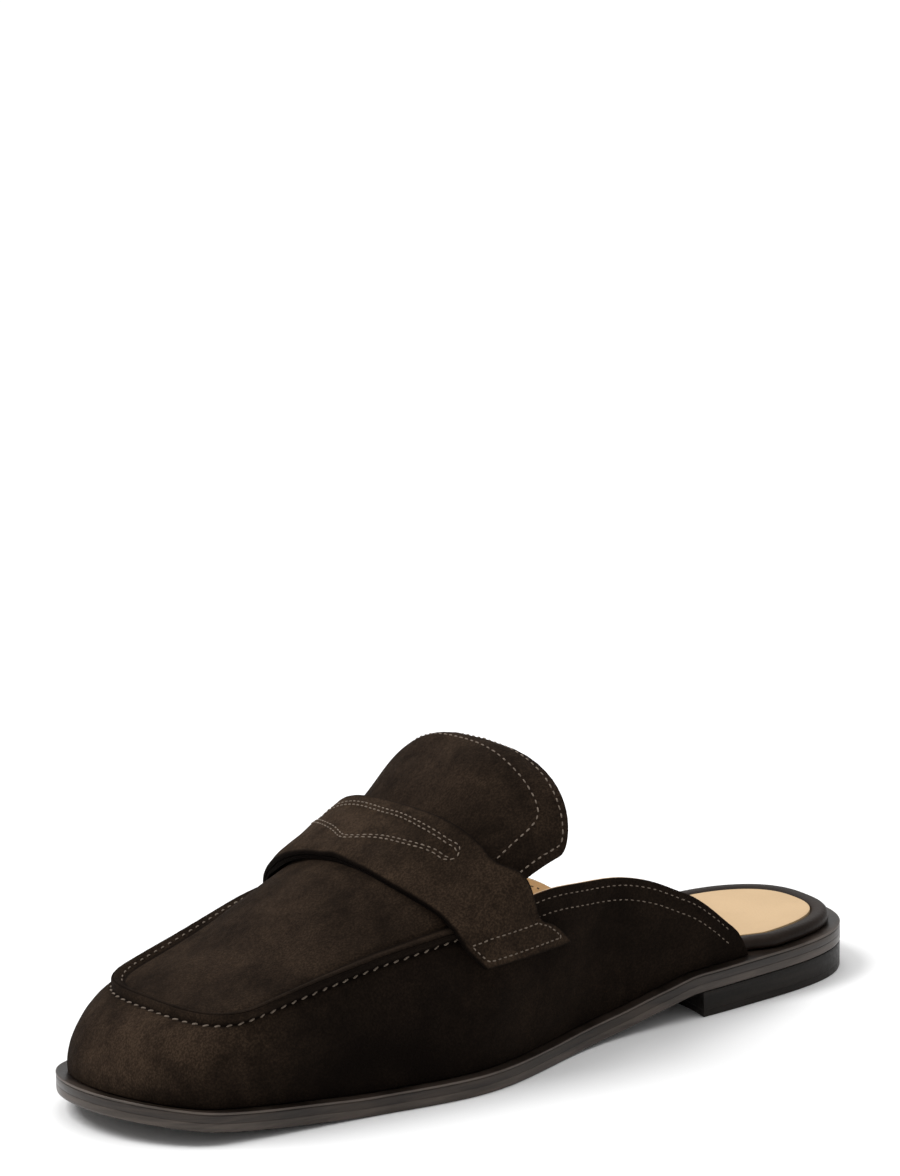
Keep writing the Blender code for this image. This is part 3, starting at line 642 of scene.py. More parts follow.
def make(name, node, grids, material, values=None, weld=2e-6, smooth_angle=50):
    """One piece from grids of points: a list of (points, wrap). They are joined where they meet.

    The piece takes the place of a node of the part. values holds named numbers for the materials
    to read, in grids like those of the points.
    """
    points, faces = [], []
    count = 0
    for grid, wrap in grids:
        rows, columns = grid.shape[:2]
        points.append(grid.reshape(-1, 3))
        faces.append(grid_faces(rows, columns, count, wrap))
        count += rows * columns
    points = np.concatenate(points) - middle()
    faces = np.concatenate(faces)
    mesh = bpy.data.meshes.new(name)
    mesh.vertices.add(len(points))
    mesh.vertices.foreach_set("co", points.astype(np.float32).ravel())
    mesh.loops.add(4 * len(faces))
    mesh.loops.foreach_set("vertex_index", faces.astype(np.int32).ravel())
    mesh.polygons.add(len(faces))
    mesh.polygons.foreach_set("loop_start", np.arange(0, 4 * len(faces), 4, dtype=np.int32))
    mesh.update(calc_edges=True)
    for key, value in (values or {}).items():
        layer = mesh.attributes.new(key, "FLOAT", "POINT")
        value = np.concatenate([grid.ravel() for grid, _ in value])
        layer.data.foreach_set("value", value.astype(np.float32))
    shape = bmesh.new()
    shape.from_mesh(mesh)
    bmesh.ops.remove_doubles(shape, verts=shape.verts, dist=weld)
    bmesh.ops.dissolve_degenerate(shape, dist=1e-7, edges=shape.edges)
    bmesh.ops.recalc_face_normals(shape, faces=shape.faces)
    shape.to_mesh(mesh)
    shape.free()
    mesh.shade_smooth()
    mesh.set_sharp_from_angle(angle=math.radians(smooth_angle))
    mesh.materials.append(material)
    piece = bpy.data.objects.new(name, mesh)
    bpy.context.scene.collection.objects.link(piece)
    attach(piece, "root")
    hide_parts(node)


def slab(outer, inner, wrap=False, last_open=True):
    """The grids of a closed sheet: its two faces and a rim along each open edge."""
    grids = [(outer, wrap), (inner[::-1], wrap)]
    grids.append((np.stack([inner[0], outer[0]]), wrap))
    if last_open:
        grids.append((np.stack([outer[-1], inner[-1]]), wrap))
    if not wrap:
        grids.append((np.stack([outer[:, 0], inner[:, 0]]), False))
        grids.append((np.stack([inner[:, -1], outer[:, -1]]), False))
    return grids


def waves(points, length, seed):
    """Soft unevenness from -1 to 1: the sum of five sine waves of about this length, each in its
    own direction."""
    total = 0
    for k in range(5):
        turn = seed + 2.4 * k
        way = np.array([math.cos(turn), math.sin(turn) * 0.8, math.sin(1.7 * turn) * 0.9])
        size = 2 * math.pi / (length * (0.75 + 0.17 * k))
        total = total + np.sin(points @ way * size + 1.3 * seed * (k + 1))
    return total / 5


def trough(points, start, end, width, depth):
    """A soft crease: a groove of this depth and width along a straight line between two places,
    fading at both ends."""
    start, end = np.array(start) * MM, np.array(end) * MM
    along = end - start
    share = np.clip((points - start) @ along / (along @ along), 0, 1)
    away = np.linalg.norm(points - start - share[..., None] * along, axis=-1)
    fade = np.sin(np.pi * (0.08 + 0.84 * share)) ** 0.7
    return -depth * MM * fade * np.exp(-((away / (width * MM)) ** 2))


# Main creases and swellings of vamp, plug and strap: two ends, width and depth in mm. A minus
# depth is a ridge
VAMP_FOLDS = (
    ((150, 41, 40), (168, 42, 22), 7.0, 0.7),
    ((128, 42, 34), (140, 42, 16), 8.0, 0.6),
    ((176, 40, 40), (196, 41, 20), 9.0, 0.5),
    ((100, 34, 44), (108, 36, 22), 9.0, 0.7),
    ((84, 33, 40), (92, 34, 20), 8.0, -0.6),
    ((232, 30, 27), (250, -8, 24), 7.0, -0.9),
    ((215, 37, 30), (236, 30, 20), 8.0, -0.5),
)
PLUG_FOLDS = (
    ((178, 22, 58), (196, 28, 50), 6.0, 0.6),
    ((180, -4, 62), (200, 4, 56), 8.0, -0.7),
    ((170, 30, 54), (190, 31, 48), 5.0, 0.5),
    ((134, 0, 88), (138, -18, 84), 7.0, 0.9),
    ((128, 22, 84), (134, 30, 72), 7.0, 0.6),
    ((150, 12, 76), (140, 20, 78), 6.0, 0.7),
    ((222, 10, 40), (226, -16, 40), 8.0, -0.5),
)
STRAP_FOLDS = (
    ((168, -14, 78), (158, -24, 74), 5.0, 0.8),
    ((170, -4, 76), (164, -12, 79), 5.0, -0.7),
    ((152, 27, 68), (160, 33, 58), 6.0, 0.6),
    ((140, 34, 56), (150, 38, 48), 6.0, -0.5),
    ((160, 12, 72), (168, 20, 66), 5.0, 0.5),
)


def folds(points, table_of_folds):
    """All the creases of a list, added up."""
    total = 0
    for start, end, width, depth in table_of_folds:
        total = total + trough(points, start, end, width, depth)
    return total


def seam_share(place, side):
    """1 along the open seam, fading to 0 under the strap's front edge."""
    edge = STRAP_EDGES["lateral_front" if side > 0 else "medial_front"]
    front = smooth(SEAM_DOWN, STRAP_EDGES["down"], edge)
    return ease(place / LENGTH, front - RIDGE_FADE[0], front - 0.006)


def seam_share_both(place, lateral):
    """The seam's share on whichever side each place lies."""
    return np.where(lateral, seam_share(place, 1), seam_share(place, -1))


def wall_at(away):
    """Shares up the wall at these distances from its top edge, corrected a few times by the
    distance that each guess gives."""
    top, foot, out, place = EDGES
    below = np.full((len(away), len(top)), FIRST_BELOW)
    for _ in range(CORRECTIONS):
        points = wall_curve(top, foot, out, place, 1 - below)
        reached = np.linalg.norm(points - top, axis=-1)
        below = np.clip(below * away[:, None] / np.maximum(reached, 1e-9), 0, 1)
    return 1 - below


# Within about this distance of a seam, its two edges lean towards the crest's own direction
LEAN_REACH = 2.2 * MM
# Further from an edge than this, the leather is fully creased and uneven
BODY_FROM = 9 * MM


def raised(plain, normal, crest, away, seam, bumps):
    """The suede's face: the plain sheet, raised to the seam, rounded at a free edge and creased.

    seam is how much of the seam stands there, how much of the edge is sewn, and its column in the
    table. bumps is how much of the unevenness shows, its waves by height, length and seed, and the
    creases.
    """
    ridge, sewn, column = seam
    share, swells, creases = bumps
    height = ridge * smooth(away / MM, SEAM["away"], SEAM[column])
    free = (1 - sewn) * smooth(away / MM, FREE_EDGE["away"], FREE_EDGE["drop"])
    lean = np.exp(-((away / LEAN_REACH) ** 2))[..., None] * ridge[:, None]
    crest = normal + lean * (crest - normal)
    crest = crest / np.linalg.norm(crest, axis=-1, keepdims=True)
    body = np.clip(away / BODY_FROM, 0, 1) * share
    uneven = sum(tall * waves(plain, long * MM, seed) for tall, long, seed in swells)
    uneven = body * (uneven + folds(plain, creases) / MM)
    fuzz = 0.05 * waves(plain, 3.1 * MM, 5.0)
    return plain + crest * ((height - free + uneven + fuzz) * MM)[..., None]


def vamp_surface(t):
    """The vamp and quarters: the wall's curve, raised to the seam, creased and a little uneven.

    Returns the suede's face, the plain wall under it, its normals and the distance to the edge.
    """
    top, foot, out, place = EDGES
    plain = wall_curve(top, foot, out, place, t)
    out3 = np.broadcast_to(out, plain.shape)
    normal = grid_normals(plain, out3)
    away = np.linalg.norm(plain - top, axis=-1)
    attached = np.zeros(len(top))
    attached[QUARTER_ROWS : len(top) - QUARTER_ROWS] = 1
    ridge = attached * seam_share_both(place, np.arange(len(top)) <= len(top) // 2)
    body = ease(plain[..., 2] - foot[:, 2], 0, 8 * MM)
    bumps = body, ((0.35, 34, 1.0), (0.12, 13, 2.0)), VAMP_FOLDS
    face = raised(plain, normal, CREST, away, (ridge, attached, "vamp"), bumps)
    return face, plain, normal, away


# The spine that the plug's rings close on starts this far inside its two ends
SPINE_ENDS = (15 * MM, 24 * MM)


def plug_surface(insets, shares=(), rounding=0):
    """Plug and tongue, from rings inset from the edge to the spine along the middle.

    Past the last ring the place and the share across slide in a straight line to the spine.
    """
    rings = [plug_params(inset, rounding) for inset in insets]
    x = [ring[0] for ring in rings]
    across = [ring[1] for ring in rings]
    low, high = TONGUE_END * LENGTH + SPINE_ENDS[0], PLUG_FRONT * LENGTH - SPINE_ENDS[1]
    spine = np.clip(x[-1], low, high)
    for share in shares:
        x.append(rings[-1][0] * (1 - share) + spine * share)
        across.append(rings[-1][1] * (1 - share))
    x, across = np.array(x), np.array(across)
    return plug_point(x, across), x, across


def plug_normals(x, across):
    """Unit normals of plug and tongue: the cross product of two small steps, turned upwards."""
    step, turn = 0.4 * MM, 0.01
    ahead = plug_point(x + step, across) - plug_point(x - step, across)
    beside = plug_point(x, across + turn) - plug_point(x, across - turn)
    normal = np.cross(ahead, beside)
    normal = normal / np.linalg.norm(normal, axis=-1, keepdims=True)
    return normal * np.sign(normal[..., 2:3] + 1e-9)


def plug_face(insets, shares=(), rounding=0):
    """The suede's face of plug and tongue, the plain sheet under it and its normals."""
    plain, x, across = plug_surface(insets, shares, rounding)
    normal = plug_normals(x, across)
    count = plain.shape[1]
    edge = plain[0] if insets[0] == 0 else plug_surface((0.0,))[0][0]
    away = np.linalg.norm(plain - edge, axis=-1)
    place = plug_params(0.0)[0]
    attached = ease(place, NOTCH * LENGTH - 1 * MM, NOTCH * LENGTH)
    ridge = seam_share_both(place, np.arange(count) <= count // 2)
    bumps = 1.0, ((0.4, 37, 3.0), (0.14, 14, 4.0)), PLUG_FOLDS
    face = raised(plain, normal, CREST_RING, away, (ridge, attached, "plug"), bumps)
    return face, plain, normal, away


# Nap and painted light: each piece's base, darker for the vamp and quarters on the side walls
# and lighter for the plug and strap on top, is painted light and shade. Then round patches, as
# a place and reach in mm and how much lighter: painted light on the toe's front, painted shade
# low on the sides near the sole, and the others lighter or darker in soft patches
NAP_AND_PAINTED_LIGHT = {
    "vamp": (
        (0.15, ()),
        ((248, 6, 23), 27, 0.62),
        ((234, 27, 31), 14, 0.22),
        ((214, 36, 34), 14, 0.08),
        ((246, 22, 10), 12, -0.22),
        ((150, 41, 40), 16, 0.06),
        ((196, 40, 12), 22, -0.10),
        ((112, 38, 22), 14, 0.05),
        ((170, 42, 14), 20, -0.06),
    ),
    "plug": (
        (0.40, ()),
        ((146, 31, 62), 15, -0.20),
        ((134, 27, 76), 14, 0.02),
        ((150, -14, 82), 16, -0.06),
        ((205, 4, 47), 16, 0.10),
        ((228, 16, 38), 12, -0.08),
        ((186, 24, 53), 14, -0.10),
        ((172, -10, 64), 18, 0.10),
        ((132, 0, 88), 16, 0.10),
        ((140, 26, 74), 16, -0.02),
    ),
    "strap": (
        (0.60, ()),
        ((160, 0, 74), 22, 0.14),
        ((152, 24, 67), 14, -0.32),
        ((166, 30, 57), 12, 0.04),
        ((140, 38, 44), 16, 0.05),
    ),
}


def nap_and_painted_light_at(points, name, painted_shade_and_dark_edge=0.0):
    """How light the suede is painted: the piece's own base, plus soft round patches, partly nap and
    partly painted light and shade, times what is left after the darkening near an edge or a groove,
    which is painted shade and, at the strap's edges, also the cut edge's own darker colour."""
    base, patches = NAP_AND_PAINTED_LIGHT[name][0][0], NAP_AND_PAINTED_LIGHT[name][1:]
    total = base
    for place, reach, light in patches:
        away = np.linalg.norm(points - np.array(place) * MM, axis=-1) / (reach * MM)
        total = total + light * np.exp(-(away**2))
    return (total + 0.05 * waves(points, 21 * MM, 8.0)) * (1 - painted_shade_and_dark_edge)


# How far the raised seam leans out over the vamp: 0.5 is halfway between the two leathers
CREST_LEAN = 0.72


def seam_directions():
    """The way the seam's two edges stand up, between the plug's normal and the wall's: along the
    wall's edge, and round the plug's whole ring."""
    top, foot, out, place = EDGES
    wall = wall_curve(top, foot, out, place, np.array([[0.985], [0.99], [1.0]]) + 0 * top[:, 0])
    wall_normal = grid_normals(wall, np.broadcast_to(out, wall.shape))[2]
    ring = plug_normals(*plug_params(0.0))
    first, last = sum(TONGUE_ROWS), len(ring) - sum(TONGUE_ROWS)
    crest = wall_normal.copy()
    inside = slice(QUARTER_ROWS, len(top) - QUARTER_ROWS)
    crest[inside] = CREST_LEAN * wall_normal[inside] + (1 - CREST_LEAN) * ring[first : last + 1]
    crest = crest / np.linalg.norm(crest, axis=-1, keepdims=True)
    full = ring.copy()
    full[first : last + 1] = crest[inside]
    return crest, full


EDGES = wall_edges()
CREST, CREST_RING = seam_directions()


def strap_surface(down, share, side):
    """The strap's underside at these places down its length and across its width."""
    name = "lateral" if side > 0 else "medial"
    ends = (STRAP_EDGES[f"{name}_{end}"] for end in ("rear", "front"))
    rear, front = (smooth(down, STRAP_EDGES["down"], edge) for edge in ends)
    x = LENGTH * (rear + (front - rear) * share)
    return strap_point(down.ravel(), side, x.ravel()).reshape(*down.shape, 3)


def strap_grid(line, share):
    """The strap's underside on a grid: line runs from -1 at the inner tab to 1 at the outer one."""
    down, across = np.meshgrid(np.abs(line), share, indexing="ij")
    points = strap_surface(down, across, 1.0)
    inner = strap_surface(down, across, -1.0)
    return np.where((line < 0)[:, None, None], inner, points)


# The long stitched lens on the strap: its rear and front lines, as shares of the width, against
# the place along the strap. The front line has a kink on the middle of the shoe
LENS = table(
    "line rear front",
    (-0.450, 0.265, 0.325),
    (-0.400, 0.190, 0.385),
    (-0.300, 0.145, 0.470),
    (-0.200, 0.130, 0.560),
    (-0.100, 0.130, 0.660),
    (-0.025, 0.140, 0.730),
    (0.010, 0.145, 0.690),
    (0.050, 0.140, 0.620),
    (0.100, 0.145, 0.565),
    (0.200, 0.170, 0.510),
    (0.300, 0.175, 0.445),
    (0.380, 0.160, 0.405),
    (0.425, 0.195, 0.360),
    (0.440, 0.270, 0.290),
)
# Between its two rows of stitches, as shares of the strap's line and width
LENS_ROWS = (0.020, 0.050)


def lens_lines(line, inside=0.0):
    """The lens's rear and front lines, moved in by a share of the width."""
    rear = smooth(line, LENS["line"], LENS["rear"]) + inside
    front = smooth(line, LENS["line"], LENS["front"]) - inside
    return np.minimum(rear, front), np.maximum(rear, front)


# The strap: its thickness and how far in its edges are rounded, in mm, the length that a share of
# its line stands for near a tab's end, how deep the groove in its cut edges is, and the groove's
# profile, down from the top and in
STRAP_THICK = 2.1
STRAP_ROUND = 0.8
STRAP_END = 0.062
STRAP_GROOVE = 0.45 * MM
STRAP_LAYERS = ((0, 0), (0.40, 0.06), (0.50, 1), (0.60, 0.06), (1, 0))
# The stitched rectangle on each tab, as shares of the strap's line and width
TAB_BOX = ((0.815, 0.962), (0.07, 0.93))


def strap_faces(line, share):
    """The strap's upper face, its underside, normals and distance to the edge in mm. The face has
    rounded edges, a soft ridge down the middle of its front and a sunken lens."""
    under = strap_grid(line, share)
    out = under - under.mean(axis=(0, 1)) + (0, 0, 0.02)
    normal = grid_normals(under, out)
    width = np.linalg.norm(under[:, -1] - under[:, 0], axis=-1)[:, None]
    length = np.abs(line)[:, None]
    side_away = np.minimum(share, 1 - share) * width
    end_away = (1 - length) * STRAP_END
    away = np.minimum(side_away, end_away) / MM
    drop = 0.55 * np.clip(1 - away / STRAP_ROUND, 0, 1) ** 2
    rib = 0.12 * np.exp(-(((away - 1.0) / 0.5) ** 2))
    rear, front = (edge[:, None] for edge in lens_lines(line))
    lens = np.minimum(share - rear, front - share) * width / MM
    sunk = 0.40 * ease(lens, 0.6, 2.4) - 0.14 * np.exp(-(((lens - 0.8) / 0.7) ** 2))
    ridge = 0.9 * np.exp(-((line[:, None] / 0.075) ** 2)) * ease(share[None, :], 0.45, 1.0)
    body = np.clip(away / 6, 0, 1)
    uneven = 0.45 * waves(under, 27 * MM, 6.0) + 0.20 * waves(under, 11 * MM, 7.0)
    uneven = uneven + folds(under, STRAP_FOLDS) / MM
    fuzz = 0.04 * waves(under, 3.1 * MM, 5.0)
    height = STRAP_THICK - drop - rib - sunk + ridge + body * uneven + fuzz
    # The front edge is turned down towards the plug, more on the inner side, and flat on the tabs
    turned = ease(share[None, :], 0.86, 1.0) * (0.9 + 0.6 * ease(-line[:, None], 0.15, 0.40))
    turned = turned * (1 - ease(length, 0.46, 0.68))
    under = under - normal * turned[..., None] * MM
    height = height + 0.75 * turned
    return under + normal * height[..., None] * MM, under, normal, away


def build_strap(material):
    """The saddle strap, its two cut edges in two layers with a groove between them."""
    bend = math.pi / 2 * 0.92
    line = np.sin(np.linspace(-1, 1, 181) * bend) / math.sin(bend)
    share = 0.5 - 0.5 * np.cos(np.linspace(0, math.pi, 47))
    face, under, _, away = strap_faces(line, share)
    # The strap is painted dark within about half a millimetre of its edges, on its cut edges with
    # their groove, and underneath: partly the cut edge's own darker colour, partly painted shade at
    # the edge
    light = nap_and_painted_light_at(under, "strap", 0.95 * np.exp(-((away / 0.55) ** 2)))
    dark = 0 * light
    values = {"nap_and_painted_light": slab(light, dark), "raw": slab(dark, dark)}
    grids = slab(face, under)
    for k, edge, beside in ((4, 0, 1), (5, -1, -2)):
        upper, lower = grids[k][0]
        into = under[:, beside] - under[:, edge]
        into = into / np.linalg.norm(into, axis=-1, keepdims=True) * STRAP_GROOVE
        rows = [upper * (1 - down) + lower * down + into * deep for down, deep in STRAP_LAYERS]
        grids[k] = (np.stack(rows), False)
        for value in values.values():
            first, last = value[k][0]
            value[k] = (np.stack([first, *[0 * first] * (len(rows) - 2), last]), False)
    make("saddle_strap_suede", "saddle_strap", grids, material, values, 1e-6)


# Further rows of the suede's fine grids, between the seam's own: their distances from an edge, mm
VAMP_ROWS = (0.2, 0.42, 0.7, 0.97, 1.2, 1.4, 1.62, 1.9, 2.2, 2.6, 3.8, 4.8)
PLUG_ROWS = (0.2, 0.42, 0.7, 0.97, 1.2, 1.62, 1.9, 2.2, 2.6, 3.05, 3.8, 4.8)


def edge_rows(further):
    """The seam's own distances from the edge and the further ones, in order."""
    return np.unique(np.concatenate([SEAM["away"], further])) * MM


def seam_painted_shade(away, groove, crest):
    """Painted shade near the seam: how much darker the suede is painted in its groove and in the
    crevice along its crest, where shade falls; each a share, how far from the edge it lies and how
    wide it is, in mm."""
    away = away / MM
    dark = (share * np.exp(-(((away - at) / width) ** 2)) for share, at, width in (groove, crest))
    return sum(dark)


def from_ends(away):
    """How many columns of a grid away its nearer end is."""
    columns = np.arange(away.shape[1])
    return np.minimum(columns, columns[::-1])


def build_lining(name, plain, normal, material, **ends):
    """Thin lining close behind the suede's inner face."""
    back, skin = (plain - normal * deep for deep in (SUEDE + SLACK, SUEDE + SLACK + LINING))
    make(name, "upper", slab(back, skin, **ends), material, weld=1e-6)


def build_vamp(material, lining):
    """The vamp and both quarters, and their lining on every second column."""
    near = wall_at(edge_rows(VAMP_ROWS)[::-1])
    t = np.concatenate([np.linspace(0, 1, 34)[:-1, None] * near[0], near])
    face, plain, normal, away = vamp_surface(t)
    ends = from_ends(away)
    # Painted shade in the seam's groove and crevice, left off the quarters, on the painted light
    # and shade of the nap
    seam = seam_painted_shade(away, (0.85, 1.75, 0.5), (0.55, 0, 1.0))
    light = nap_and_painted_light_at(plain, "vamp", seam * ease(ends, QUARTER_ROWS - 1, QUARTER_ROWS + 1))
    raw = 0.6 * ease(ends, 4, 12) + 0 * light
    values = {"nap_and_painted_light": slab(light, light), "raw": slab(0 * light, raw)}
    grids = slab(face, plain - normal * SUEDE)
    make("vamp_and_quarters", "upper", grids, material, values, weld=1e-6)
    fine = len(t) - 16
    some = np.concatenate([np.arange(0, fine, 2), np.arange(fine, len(t), 5)])
    build_lining("vamp_lining", plain[some][:, 8:-8:2], normal[some][:, 8:-8:2], lining)


def build_plug(material, lining):
    """The plug with the tongue, closed on its spine, and its lining."""
    ends = dict(wrap=True, last_open=False)
    face, plain, normal, away = plug_face(edge_rows(PLUG_ROWS), np.linspace(0, 1, 34)[1:])
    ring = sum(TONGUE_ROWS)
    # Painted shade in the seam's groove and crevice, left off the tongue, on the painted light and
    # shade of the nap
    seam = seam_painted_shade(away, (0.80, 2.5, 0.45), (0.55, 0, 1.4))
    light = nap_and_painted_light_at(plain, "plug", seam * ease(from_ends(away), ring - 1, ring + 1))
    values = {"nap_and_painted_light": slab(light, light, **ends), "raw": slab(0 * light, 1 + 0 * light, **ends)}
    grids = slab(face, plain - normal * SUEDE, **ends)
    make("plug_and_tongue", "upper", grids, material, values, weld=1e-6)
    last = len(face)
    some = np.concatenate([np.arange(3, 30, 4), np.arange(32, last, 2), [last - 1]])
    build_lining("tongue_lining", plain[some], normal[some], lining, **ends)


def along_line(points):
    """Distance along a row of points from its first."""
    return np.concatenate([[0], np.cumsum(np.linalg.norm(np.diff(points, axis=0), axis=1))])


# Stitches of each kind: spacing, length and radius of the thread, in mm
STITCHES = {
    "seam": (3.3, 2.3, 0.31),
    "seam_inside": (2.6, 1.5, 0.24),
    "quarter": (2.25, 1.4, 0.18),
    "quarter_lining": (2.25, 1.5, 0.22),
    "tongue": (2.3, 1.6, 0.24),
    "lens": (1.95, 1.4, 0.21),
    "tab": (2.0, 1.4, 0.22),
}


def unit(vectors):
    """Each row of an array, scaled to length 1."""
    return vectors / np.linalg.norm(vectors, axis=1)[:, None]


def stitch_row(kind, points, normals, slant=0.0):
    """Where each stitch of a row sits: middle, direction, normal, half length and radius. Each is
    turned by slant in radians, and a little more or less from one stitch to the next."""
    pitch, length, radius = (size * MM for size in STITCHES[kind])
    s = along_line(points)
    count = max(int((s[-1] - pitch) / pitch), 1)
    middle_s = np.linspace(pitch / 2, s[-1] - pitch / 2, count)
    half = length / 2

    def at(where, rows):
        return np.stack([np.interp(where, s, rows[:, k]) for k in range(3)], axis=1)

    a, b = at(middle_s - half, points), at(middle_s + half, points)
    normal = unit(at(middle_s, normals))
    along = unit(b - a)
    normal = unit(normal - along * np.sum(normal * along, axis=1)[:, None])
    k = np.arange(count)
    turn = (slant + 0.07 * np.sin(2.3 * k) + 0.05 * np.sin(5.1 * k))[:, None]
    along = along * np.cos(turn) + np.cross(normal, along) * np.sin(turn)
    half = half * (1 + 0.10 * np.sin(4.3 * k + 1))
    return (a + b) / 2, along, normal, half, radius * (1 + 0.10 * np.sin(3.7 * k))


def threads(name, node, rows, material):
    """Stitches as short arched threads: each is a bar of six sides and seven rings that rises in
    the middle, tapers to a point at both ends and dips into the leather there."""
    centre, along, normal, half, radius = (np.concatenate(part) for part in zip(*rows))
    beside = np.cross(along, normal)
    a = np.linspace(-1, 1, 7)
    turn = (np.arange(6) * math.pi / 3)[:, None]
    rise = (1 - a**2) * 0.75 - 0.45
    thick = np.clip(1 - a**4, 0, 1) ** 0.5
    thick[[0, -1]] = 0
    spine = centre[:, None] + along[:, None] * (a * half[:, None])[..., None]
    spine = spine + normal[:, None] * (rise * radius[:, None])[..., None]
    size = (thick * radius[:, None])[:, :, None, None]
    round_way = np.cos(turn) * normal[:, None, None] + np.sin(turn) * beside[:, None, None]
    points = spine[:, :, None] + size * round_way
    grids = [(one, True) for one in points]
    make(name, node, grids, material, weld=1e-7, smooth_angle=180)


# Edge of the outsole from the floor up: how far in, in shares of the ledge, how high, in shares
# of the thickness, and how worn it looks, with painted light and shade. A worn light band lies low,
# a dark one above it, and a thin rubbed lip stands along the top of the edge, lightened further by
# a painted highlight. The grooves and the ledge's top, where shade falls, carry painted shade
SOLE_PROFILE = table(
    "inset height worn",
    (0.300, 0.000, 0.30),
    (0.110, 0.012, 0.45),
    (0.035, 0.045, 0.60),
    (0.006, 0.100, 0.70),
    (0.000, 0.170, 0.70),
    (0.000, 0.420, 0.64),
    (0.008, 0.450, 0.35),
    (0.030, 0.470, 0.05),
    (0.022, 0.490, 0.12),
    (0.014, 0.520, 0.20),
    (0.014, 0.800, 0.16),
    (0.022, 0.850, 0.08),
    (0.050, 0.872, 0.00),
    (0.030, 0.895, 0.30),
    (0.000, 0.910, 0.90),
    (0.000, 0.955, 1.00),
    (0.018, 0.985, 1.00),
    (0.045, 1.000, 0.60),
    (0.080, 1.000, 0.10),
    (0.230, 0.985, 0.04),
    (0.360, 0.975, 0.00),
)

# Edge of the heel block: a thin top piece at the floor, a fine groove, and the stack above it
HEEL_PROFILE = table(
    "inset height",
    (0.20, 0.000),
    (0.085, 0.012),
    (0.045, 0.060),
    (0.040, 0.235),
    (0.045, 0.262),
    (0.062, 0.275),
    (0.045, 0.288),
    (0.038, 0.315),
    (0.030, 0.545),
    (0.034, 0.560),
    (0.030, 0.575),
    (0.026, 0.785),
    (0.030, 0.795),
    (0.026, 0.805),
    (0.026, 0.940),
    (0.060, 1.000),
)

# The wrapped rim of the footbed, finer than in the part
RIM_PROFILE = table(
    "inset height",
    (0.10, 0.07),
    (0.02, 0.17),
    (0.00, 0.30),
    (0.00, 0.46),
    (0.03, 0.60),
    (0.09, 0.75),
    (0.19, 0.88),
    (0.32, 0.97),
    (0.46, 1.00),
    (0.62, 0.985),
    (0.79, 0.92),
    (0.90, 0.84),
    (0.97, 0.76),
)

# The sock's edge: how far in, in mm, and how high, in shares of its thickness
SOCK_EDGE = ((0.0, 0.0), (0.0, 0.6), (0.12, 0.95), (0.4, 1.05))
# How worn the underside of the outsole looks, and the gap between heel block and outsole
FLOOR_WORN = 0.3
HEEL_CLEAR = 0.1 * MM


def cap(ring, columns=13):
    """Fills a ring of paired points: straight rows from one side to the other."""
    half = len(ring) // 2
    left = ring[: half + 1]
    right = np.concatenate([ring[:1], ring[: half - 1 : -1]])
    share = np.linspace(0, 1, columns)[:, None]
    return left[:, None] * (1 - share) + right[:, None] * share


def capped(rings, columns=13):
    """The grids of a block: rings of points up its side, and a cap on the first and the last."""
    side = np.stack(rings)
    return [(side, True), (cap(side[0]), False), (cap(side[-1], columns), False)]


def build_outsole(material):
    """The outsole: rings up its edge, and how worn each looks, with painted shade in its grooves
    and on the ledge's top and a painted highlight on its lip.
    """
    rings = []
    for inset, height in zip(SOLE_PROFILE["inset"], SOLE_PROFILE["height"]):
        rings.append(outline(even(LEDGE * inset), lambda x: underside(x) + OUTSOLE * height))
    grids = capped(rings)
    floor, top = (0 * grids[k][0][..., 0] for k in (1, 2))
    worn = np.repeat(SOLE_PROFILE["worn"], len(rings[0]))
    values = {"worn": [(worn, True), (floor + FLOOR_WORN, False), (top, False)]}
    make("leather_outsole", "outsole", grids, material, values)


def build_heel(material):
    """The heel block: rings round its back, along its sides and across its hollow breast."""
    across, straight = 14, 22
    turn = np.linspace(0, math.pi / 2, OUTLINE_ROWS[0] + 1)[:-1]
    rings = []
    for inset, height in zip(HEEL_PROFILE["inset"], HEEL_PROFILE["height"]):
        moved = LEDGE * inset
        back = HEEL_ROUND - (HEEL_ROUND - moved) * np.cos(turn) ** (2 / HEEL_POWER)
        sides = np.linspace(HEEL_ROUND, HEEL_LENGTH - moved, straight)
        x = np.concatenate([back, sides])
        share = np.append(np.sin(turn) ** (2 / HEEL_POWER), np.ones(len(sides)))
        lateral = share * (half_width(x, 1) - moved)
        medial = -share * (half_width(x, -1) - moved)
        breast_y = np.linspace(lateral[-1], medial[-1], across + 1)[1:-1]
        swing = np.clip(1 - (breast_y / lateral[-1]) ** 2, 0, 1)
        breast_x = HEEL_LENGTH - moved - BREAST_HOLLOW * swing
        ring_x = np.concatenate([x, breast_x, x[:0:-1]])
        ring_y = np.concatenate([lateral, breast_y, medial[:0:-1]])
        ring_z = height * (underside(ring_x) - HEEL_CLEAR)
        rings.append(np.stack([ring_x, ring_y, ring_z], axis=1))
    block = np.stack(rings)
    last = len(x) - 1
    grids = [(block, True)]
    for ring in (block[0], block[-1]):
        left = ring[: last + 1]
        right = np.concatenate([ring[:1], ring[: -last - 1 : -1]])
        share = np.linspace(0, 1, across + 1)[:, None]
        rows = left[:, None] * (1 - share) + right[:, None] * share
        rows[-1] = ring[last : last + across + 1]
        grids.append((rows, False))
    make("stacked_heel", "heel_block", grids, material)


